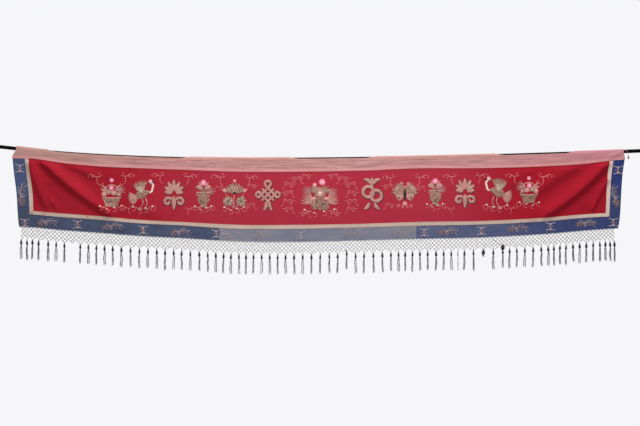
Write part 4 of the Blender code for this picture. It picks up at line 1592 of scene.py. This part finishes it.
@dataclass
class SeamStitches:
    """Hand stitches that hold the heading and the ribbons."""

    spacing: float = 10.0
    length: float = 5.5
    width: float = 1.6
    inset: float = 3.0
    ribbon_front: float = -2.2 * MM
    ribbon_ends: tuple[float, float] = (110.0, 102.0)
    heading_front: float = -3.7 * MM
    heading_end: float = 20.0

    def build(self) -> None:
        """Sews the rows of stitches along the ribbon's two edges and the heading's lower edge."""
        left, right = FORM.left / MM, FORM.right / MM
        ribbon = Needlework("stitches_ribbon", front=self.ribbon_front)
        for name, shift in (("ribbon_top", -self.inset), ("ribbon_foot", self.inset)):
            for start in np.arange(left + self.ribbon_ends[0], right - self.ribbon_ends[1], self.spacing):
                self.sew(ribbon, start, name, shift, Thread.BLUSH)
        heading = Needlework("stitches_heading", front=self.heading_front)
        for start in np.arange(left + self.heading_end, right - self.heading_end, self.spacing * 1.3):
            self.sew(heading, start, "seam", self.inset * 1.5, Thread.PALE)
        ribbon.lay()
        heading.lay()

    def sew(self, work: Needlework, start: float, seam: str, shift: float, thread: Thread) -> None:
        """Adds one stitch.

        Args:
            work: the needlework it belongs to.
            start: its left end, in millimetres.
            seam: the seam line it follows.
            shift: how far above that line it lies.
            thread: its thread.
        """
        ends = np.array([start, start + self.length])
        heights = FORM.seam(seam, ends * MM) / MM + shift
        line = np.stack([np.linspace(*ends, 3), np.linspace(*heights, 3)], axis=1)
        work.band(line, self.width / 2, thread, 0.9)


class OddTassel(NamedTuple):
    """A tassel unlike the rest: its rise, its share of head and strands, and how wide it spreads."""

    raised: float
    head: float
    strands: float
    spread: float = 1.0


NET_CORD = SpunCord("net_cotton_cord", "#7d736b", "#5f5750")
HEAD_THREAD = SpunCord("dark_tassel_thread", "#1f1b20", "#332d34", 6 * MM)
STRAND_THREAD = SpunCord("grey_tassel_thread", "#5c5758", "#7e797a", 16 * MM)
PINK_THREAD = SpunCord("pink_cotton_thread", "#c97b80", "#a85f66")
KNOT_THREAD = SpunCord("dark_knot_thread", "#3b3236", "#584a4c")


def turned(profile: Sequence[tuple[float, float]], top: np.ndarray, drop: Sequence[float]) -> np.ndarray:
    """Middle line of a turned shape: the shares of its profile along the drop from its top."""
    return top + np.outer([share for share, _ in profile], drop)


def widths(profile: Sequence[tuple[float, float]], scale: float) -> np.ndarray:
    """Radii of a turned shape along its profile."""
    return np.array([radius for _, radius in profile]) * scale


HEAD = ((0, 0.22), (0.2, 0.5), (0.45, 0.82), (0.7, 1.0), (0.86, 0.9), (0.94, 0.55), (1.0, 0.5))
GREAT_KNOT = ((0, 2.5), (0.25, 11), (0.55, 14.5), (0.85, 10), (1.0, 3))
THREAD_KNOT = ((0, 1.6), (0.25, 4.2), (0.5, 5.6), (0.75, 4.4), (1.0, 1.8))


@dataclass
class Fringe:
    """A net of knotted cord behind the hem, with a tassel at each of its points but one."""

    last_slot: int = 76
    lost: int = 7
    knotted: int = 59
    pitch: float = 27 * MM
    row_drop: float = 13.5 * MM
    first_drop: float = 4 * MM
    rows: int = 7
    cord: float = 3.6 * MM
    knot: float = 3.8 * MM
    behind: float = 3.0 * MM
    head_length: float = 38 * MM
    head_width: float = 16.5 * MM
    strand_length: float = 108 * MM
    strand: float = 2.0 * MM
    strands: int = 16
    strand_spread: float = 3.2 * MM
    strand_points: int = 9
    stump_strands: int = 5
    great_knot: float = 40 * MM
    knotted_head: float = 26 * MM
    lean: float = 2.0 * MM
    sway: float = 2.5 * MM
    bow: float = 2.2 * MM
    wander: float = 2.0 * MM
    split: float = 2.2 * MM
    unsplit: float = 0.3 * MM
    split_share: float = 0.35
    hem_tape: float = 2.5 * MM
    jitter: float = 2.8 * MM
    seed: int = 11
    odd: dict[int, OddTassel] = field(
        default_factory=lambda: {
            2: OddTassel(0, 1, 1, 1.3),
            5: OddTassel(0, 1, 1, 1.5),
            40: OddTassel(18, 1, 0.94, 1.3),
            54: OddTassel(0, 0.45, 1, 0.2),
            57: OddTassel(4, 1.7, 0.18, 3.0),
            59: OddTassel(30, 1, 0.95, 1.4),
            69: OddTassel(0, 1, 0.9, 2.4),
            75: OddTassel(0, 1, 1, 1.3),
        }
    )

    def knot_place(self, row: int, across: float, rng: np.random.Generator) -> np.ndarray:
        """Where one knot of the net hangs."""
        hem = float(FORM.seam("hem", across))
        loose = rng.uniform(-1, 1, 2) * self.jitter * (0.4 if row == self.rows - 1 else 1.0)
        depth = float(FORM.depth(np.array(across), np.array(hem))) + self.behind
        return np.array([across + loose[0], depth, hem - self.first_drop - row * self.row_drop + loose[1]])

    def tassel_knots(self, rng: np.random.Generator) -> list[np.ndarray]:
        """The knots that the tassels hang from, in their order."""
        knots = []
        for slot in range(self.last_slot + 1):
            knot = self.knot_place(self.rows - 1, float(FORM.slot(slot)), rng)
            knot[2] += self.odd[slot].raised * MM if slot in self.odd else 0.0
            knots.append(knot)
        return knots

    def net_lines(
        self, lowest: list[np.ndarray], rng: np.random.Generator
    ) -> tuple[list[np.ndarray], list[np.ndarray]]:
        """The net's cords: even meshes, whose last row is gathered to the nearest tassels.

        Args:
            lowest: the knots that the tassels hang from.
            rng: the seeded source of the net's unevenness.

        Returns:
            The cords' end points, and the knots above the tassels.
        """
        left, right = float(FORM.slot(0)), float(FORM.slot(self.last_slot))
        count = round((right - left) / self.pitch)
        cords, knots, above = [], [], []
        for row in range(self.rows - 1):
            odd = row % 2
            places = left + (right - left) * (np.arange(count + 1 - odd) + odd / 2) / count
            here = [self.knot_place(row, float(place), rng) for place in places]
            for k, upper in enumerate(above):
                cords += [np.stack([upper, here[j]]) for j in (k - odd, k - odd + 1) if 0 <= j < len(here)]
            knots += here
            above = here
        for upper in above:
            nearest = min(lowest, key=lambda knot: abs(knot[0] - upper[0]))
            cords.append(np.stack([upper, nearest]))
        return cords, knots

    def build(self) -> None:
        """Builds the net, its header tape, the tassels' heads and their strands."""
        rng = np.random.default_rng(self.seed)
        lowest = self.tassel_knots(rng)
        cords, knots = self.net_lines(lowest, rng)
        net = TubeWork("net_cords", sides=4)
        for ends in cords:
            t = np.linspace(0, 1, 4)[:, None]
            line = ends[0] + (ends[1] - ends[0]) * t
            line[1:-1, 2] -= rng.uniform(0, 1.2) * MM
            line[1:-1, 1] += rng.uniform(-1, 1) * MM
            net.tube(line, self.cord / 2)
        for place in knots + lowest:
            size = self.knot * rng.uniform(0.7, 1.2)
            ends = np.array([[0, 0, 1], [0, 0, 0.1], [0, 0, -1.0]])
            net.tube(place + ends * size, np.array([0.3, 0.75, 0.3]) * size)
        header = columns_between([float(FORM.slot(0)), float(FORM.slot(self.last_slot))], [20 * MM])
        hem = FORM.seam("hem", header)
        line = np.stack([header, FORM.depth(header, hem) + self.behind, hem - self.hem_tape], axis=1)
        net.tube(line, 1.6 * MM)
        net.tube(line + np.array([0, 0, 6 * MM]), 1.4 * MM)
        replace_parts(net.finish([NET_CORD], "fringe"), "fringe")
        heads = TubeWork("tassel_heads", sides=10)
        strands = TubeWork("tassel_strands", sides=4)
        for slot in range(self.last_slot + 1):
            if slot != self.lost:
                self.add_tassel(heads, strands, lowest[slot], slot, rng)
        self.add_loose_cord(heads, lowest[self.knotted])
        heads.finish([HEAD_THREAD], "fringe")
        strands.finish([STRAND_THREAD], "fringe")

    def add_tassel(
        self, heads: TubeWork, strands: TubeWork, top: np.ndarray, slot: int, rng: np.random.Generator
    ) -> None:
        """Hangs one tassel.

        Args:
            heads: where its bound head goes.
            strands: where its strands go.
            top: the knot that it hangs from.
            slot: which tassel it is.
            rng: the seeded source of its unevenness.
        """
        odd = self.odd.get(slot, OddTassel(0, 1, 1))
        length = self.head_length * rng.uniform(0.92, 1.06)
        width = self.head_width / 2 * odd.head * rng.uniform(0.88, 1.1)
        lean = rng.uniform(-1, 1) * self.lean
        foot = top.copy()
        if slot == self.knotted:
            heads.tube(turned(GREAT_KNOT, top, (0, 0, -self.great_knot)), widths(GREAT_KNOT, MM))
            foot[2] -= self.great_knot * 0.95
            length = self.knotted_head
        line = turned(HEAD, foot, (lean, 0, -length))
        heads.tube(line, widths(HEAD, width))
        end = line[-1]
        sway = rng.uniform(-1, 1) * self.sway
        bow = rng.uniform(-1, 1) * self.bow
        waves = rng.uniform(0.5, 1.6)
        phase = rng.uniform(0, 2 * math.pi)
        full = self.strand_length * odd.strands * rng.uniform(0.93, 1.0)
        leg = (self.split if rng.random() < self.split_share else self.unsplit) * odd.spread
        strand_count = self.strands if odd.head > 0.7 else self.stump_strands
        flare = self.strand_spread * min(1.0, odd.spread)
        t = np.linspace(0, 1, self.strand_points)
        for k in range(strand_count):
            turn = 2 * math.pi * (k + rng.uniform(-0.4, 0.4)) / strand_count
            across, deep = math.cos(turn), math.sin(turn)
            reach = full * rng.uniform(0.86, 1.0)
            wander = rng.uniform(-1, 1) * self.wander
            x = end[0] + across * (flare / 2 + flare * smooth(t * 6)) + (sway + wander) * t
            x = x + math.copysign(leg, across) * smooth(t * 3)
            x = x + bow * np.sin(2 * math.pi * waves * t + phase) + 0.8 * MM * np.sin(15 * t + k * 2.1)
            y = end[1] + deep * (2.0 * MM + 1.6 * MM * t)
            z = end[2] + 2 * MM - reach * t
            strands.tube(np.stack([x, y, z], axis=1), self.strand / 2 * (1.0 - 0.25 * t**2))

    def add_loose_cord(self, heads: TubeWork, end: np.ndarray) -> None:
        """A loose dark cord that crosses the net to the knotted tassel."""
        start = np.array([1176 * MM, end[1], -545 * MM])
        t = np.linspace(0, 1, 12)[:, None]
        line = start + (end - start) * t
        line[:, 2] -= 9 * MM * np.sin(math.pi * t[:, 0])
        line[:, 1] -= 2.5 * MM
        heads.tube(line, 1.1 * MM)


@dataclass
class TubeWork:
    """Many closed tubes of thread or cord, gathered into one mesh."""

    name: str
    sides: int
    points: list[np.ndarray] = field(default_factory=list)
    faces: list[tuple[int, ...]] = field(default_factory=list)
    count: int = 0

    def tube(self, line: np.ndarray, radius: np.ndarray | float) -> None:
        """Adds a closed round tube.

        Args:
            line: its middle line, in metres.
            radius: its radius, or one for each point.
        """
        radius = np.broadcast_to(radius, len(line))
        ahead = np.gradient(line, axis=0)
        ahead /= np.maximum(np.linalg.norm(ahead, axis=1, keepdims=True), 1e-9)
        back = np.array([0.0, 1.0, 0.0])
        side = np.cross(ahead, back)
        side /= np.maximum(np.linalg.norm(side, axis=1, keepdims=True), 1e-9)
        rise = np.cross(side, ahead)
        turns = 2 * math.pi * (np.arange(self.sides) + 0.5) / self.sides
        ring = side[:, None, :] * np.cos(turns)[None, :, None]
        ring += rise[:, None, :] * np.sin(turns)[None, :, None]
        self.points.append((line[:, None, :] + ring * radius[:, None, None]).reshape(-1, 3))
        first, sides = self.count, self.sides
        for i in range(len(line) - 1):
            a, b = first + i * sides, first + (i + 1) * sides
            for k in range(sides):
                m = (k + 1) % sides
                self.faces.append((a + k, b + k, b + m, a + m))
        self.faces.append(tuple(range(first, first + sides)))
        last = first + (len(line) - 1) * sides
        self.faces.append(tuple(reversed(range(last, last + sides))))
        self.count += len(line) * sides

    def finish(self, finishes: Sequence[object], slot: str) -> bpy.types.Object:
        """Makes the mesh, turns it right side out, shades and dresses it."""
        piece = gathered(self.name, np.concatenate(self.points), self.faces)
        face_outwards(piece)
        shade(piece)
        dress(piece, finishes)
        return piece


class ThreadPlace(NamedTuple):
    """A point of the loose thread, in millimetres."""

    across: float
    depth: float
    height: float


@dataclass
class LooseThread:
    """The pink thread that hangs off the heading's right-hand end, with a dark knot at its foot."""

    line: tuple[ThreadPlace, ...] = (
        ThreadPlace(2070, -17, 55),
        ThreadPlace(2078, -19, 59),
        ThreadPlace(2086, -20, 60),
        ThreadPlace(2093, -21, 57),
        ThreadPlace(2098, -21, 52),
        ThreadPlace(2101, -21, 44),
        ThreadPlace(2103, -21, 36),
        ThreadPlace(2105, -20, 22),
    )
    radius: float = 1.4 * MM
    knot_length: float = 24 * MM
    knot_lean: float = 3 * MM

    def build(self) -> None:
        """Builds the thread and its knot as one piece in two colours."""
        work = TubeWork("loose_thread_and_knot", sides=8)
        line = np.array(self.line, float) * MM
        work.tube(line, self.radius)
        thread_faces = len(work.faces)
        drop = (self.knot_lean, 0, -self.knot_length)
        work.tube(turned(THREAD_KNOT, line[-1], drop), widths(THREAD_KNOT, MM))
        piece = work.finish([PINK_THREAD, KNOT_THREAD], "thread")
        index = np.zeros(len(piece.data.polygons), np.int32)
        index[thread_faces:] = 1
        piece.data.polygons.foreach_set("material_index", index)
        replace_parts(piece, "loose_thread")


@dataclass
class Banner:
    """The whole banner, from the rod down."""

    faded_left: float = -688 * MM
    faded_right: float = 658 * MM
    border_left_shown: float = 84 * MM
    border_right_shown: float = 76 * MM
    ribbon_width: float = 26 * MM
    ribbon_thickness: float = 1 * MM
    lap: float = 8 * MM

    def cloths(self) -> list[ClothPiece]:
        """The panel, the ribbons and the border, as they were cut."""
        gap, thick = FORM.gap, FORM.panel_thickness
        front, ribbon_front = -thick / 2, -(thick / 2 + gap + self.ribbon_thickness)
        left_ribbon = FORM.left + self.border_left_shown
        right_ribbon = FORM.right - self.border_right_shown
        left_joint, right_joint = left_ribbon + self.ribbon_width / 2, right_ribbon - self.ribbon_width / 2
        left_panel, right_panel = left_ribbon + self.ribbon_width, right_ribbon - self.ribbon_width
        lapped = Level("seam", "seam", 0, self.lap)
        under_heading = Level("seam", "seam", 0, -FORM.flat_below_heading / 2)
        joined = Level("ribbon_top", "ribbon_foot", 0.5)
        ribbon_top, ribbon_foot = Level("ribbon_top", "hem", 0), Level("ribbon_foot", "hem", 0)
        butt, hem = Level("ribbon_top", "hem", 0, gap), Level("ribbon_foot", "hem", 1)
        cloths = [
            ClothPiece(
                "panel", left_joint + gap / 2, right_joint - gap / 2, lapped, joined, front, thick, RED_WOOL,
                "panel_cloth", "cloth_heading",
            )
        ]
        for node, left, right, top, foot in (
            ("ribbon_left", left_ribbon, left_panel, under_heading, butt),
            ("ribbon_bottom", left_ribbon, right_ribbon, ribbon_top, ribbon_foot),
            ("ribbon_right", right_panel, right_ribbon, under_heading, butt),
        ):
            cloths.append(
                ClothPiece(
                    node, left, right, top, foot, ribbon_front, self.ribbon_thickness, CREAM_RIBBON, "ribbon",
                    "cloth_panel",
                )
            )
        deep_blue, faded = "border_deep_blue", "border_faded"
        for node, left, right, top, foot, finish, slot in (
            ("border_left", FORM.left, left_joint - gap / 2, lapped, joined, LEFT_BLUE, "border_blue"),
            ("border_bottom_left", FORM.left, self.faded_left, joined, hem, LEFT_BLUE, "border_blue"),
            ("border_bottom_middle", self.faded_left, self.faded_right, joined, hem, FADED_BLUE, faded),
            ("border_bottom_right", self.faded_right, FORM.right, joined, hem, RIGHT_BLUE, deep_blue),
            ("border_right", right_joint + gap / 2, FORM.right, lapped, joined, RIGHT_BLUE, deep_blue),
        ):
            rests_on = "cloth_ribbon_bottom"
            cloths.append(ClothPiece(node, left, right, top, foot, front, thick, finish, slot, rests_on))
        return cloths

    def build(self) -> None:
        """Builds every piece in order, from the rod down to the fringe."""
        Rod().build()
        Heading().build()
        embroidery = Embroidery()
        stitched = embroidery.build_panel()
        for cloth in self.cloths():
            cloth.build(stitched if cloth.node == "panel" else ())
        embroidery.build_border()
        SeamStitches().build()
        Fringe().build()
        LooseThread().build()


@dataclass
class Studio:
    """A pale floor, a pale surround, one soft light and the camera."""

    floor_level: float = -2.15
    floor_half_width: float = 6.0
    floor_back: float = 1.1
    floor_front: float = -7.0
    floor_colour: str = "#bcbcba"
    surround_colour: str = "#f7f7f9"
    camera_distance: float = 6.09
    camera_height: float = -0.369
    lens: float = 50.0
    sensor: float = 36.0
    bright: float = 0.99
    dim: float = 0.6
    key_distance: float = 1.7
    key_height: float = 3.1
    key_size: float = 3.0
    key_power: float = 226.0
    key_aim: float = -0.25

    def build(self) -> None:
        """Builds the floor, the light and the camera."""
        self.build_floor()
        self.build_world()
        self.build_key()
        deselect()
        bpy.ops.object.camera_add(
            location=(0, -self.camera_distance, self.camera_height), rotation=(math.pi / 2, 0, 0)
        )
        camera = bpy.context.active_object
        camera.data.lens, camera.data.sensor_width = self.lens, self.sensor
        bpy.context.scene.camera = camera
        bpy.context.scene.view_settings.view_transform = "Standard"

    def build_floor(self) -> None:
        """A plain pale floor."""
        deselect()
        middle = (self.floor_back + self.floor_front) / 2
        bpy.ops.mesh.primitive_plane_add(size=2, location=(0, middle, self.floor_level))
        floor = bpy.context.active_object
        floor.name = "studio_floor"
        floor.scale = (self.floor_half_width, (self.floor_back - self.floor_front) / 2, 1)
        bpy.ops.object.transform_apply(location=True, rotation=True, scale=True)
        tree = Tree("matt_studio_floor", self.floor_colour, 0.9)
        floor.data.materials.append(tree.material)

    def build_world(self) -> None:
        """A pale surround, brightest behind the banner, which is also the soft light from all sides."""
        world = bpy.data.worlds.new("studio_surround")
        world.use_nodes = True
        nodes, links = world.node_tree.nodes, world.node_tree.links
        background = nodes["Background"]
        background.inputs["Color"].default_value = linear(self.surround_colour)
        direction = nodes.new("ShaderNodeSeparateXYZ")
        links.new(nodes.new("ShaderNodeTexCoord").outputs["Generated"], direction.inputs[0])
        spread = nodes.new("ShaderNodeMapRange")
        limits = (("From Min", -0.3), ("From Max", 0.6), ("To Min", self.dim), ("To Max", self.bright))
        for socket, value in limits:
            spread.inputs[socket].default_value = value
        links.new(direction.outputs[1], spread.inputs["Value"])
        links.new(spread.outputs[0], background.inputs["Strength"])
        bpy.context.scene.world = world

    def build_key(self) -> None:
        """A soft square light above and in front of the banner, aimed at the panel."""
        deselect()
        bpy.ops.object.light_add(type="AREA", location=(0, -self.key_distance, self.key_height))
        lamp = bpy.context.active_object
        lamp.name = "key"
        lamp.data.size, lamp.data.energy = self.key_size, self.key_power
        lamp.rotation_euler = (math.atan2(self.key_distance, self.key_height - self.key_aim), 0, 0)


def main() -> None:
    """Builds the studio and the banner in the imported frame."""
    logging.basicConfig(level=logging.INFO, format="%(name)s: %(message)s")
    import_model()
    Studio().build()
    Banner().build()


if __name__ == "__main__":
    main()
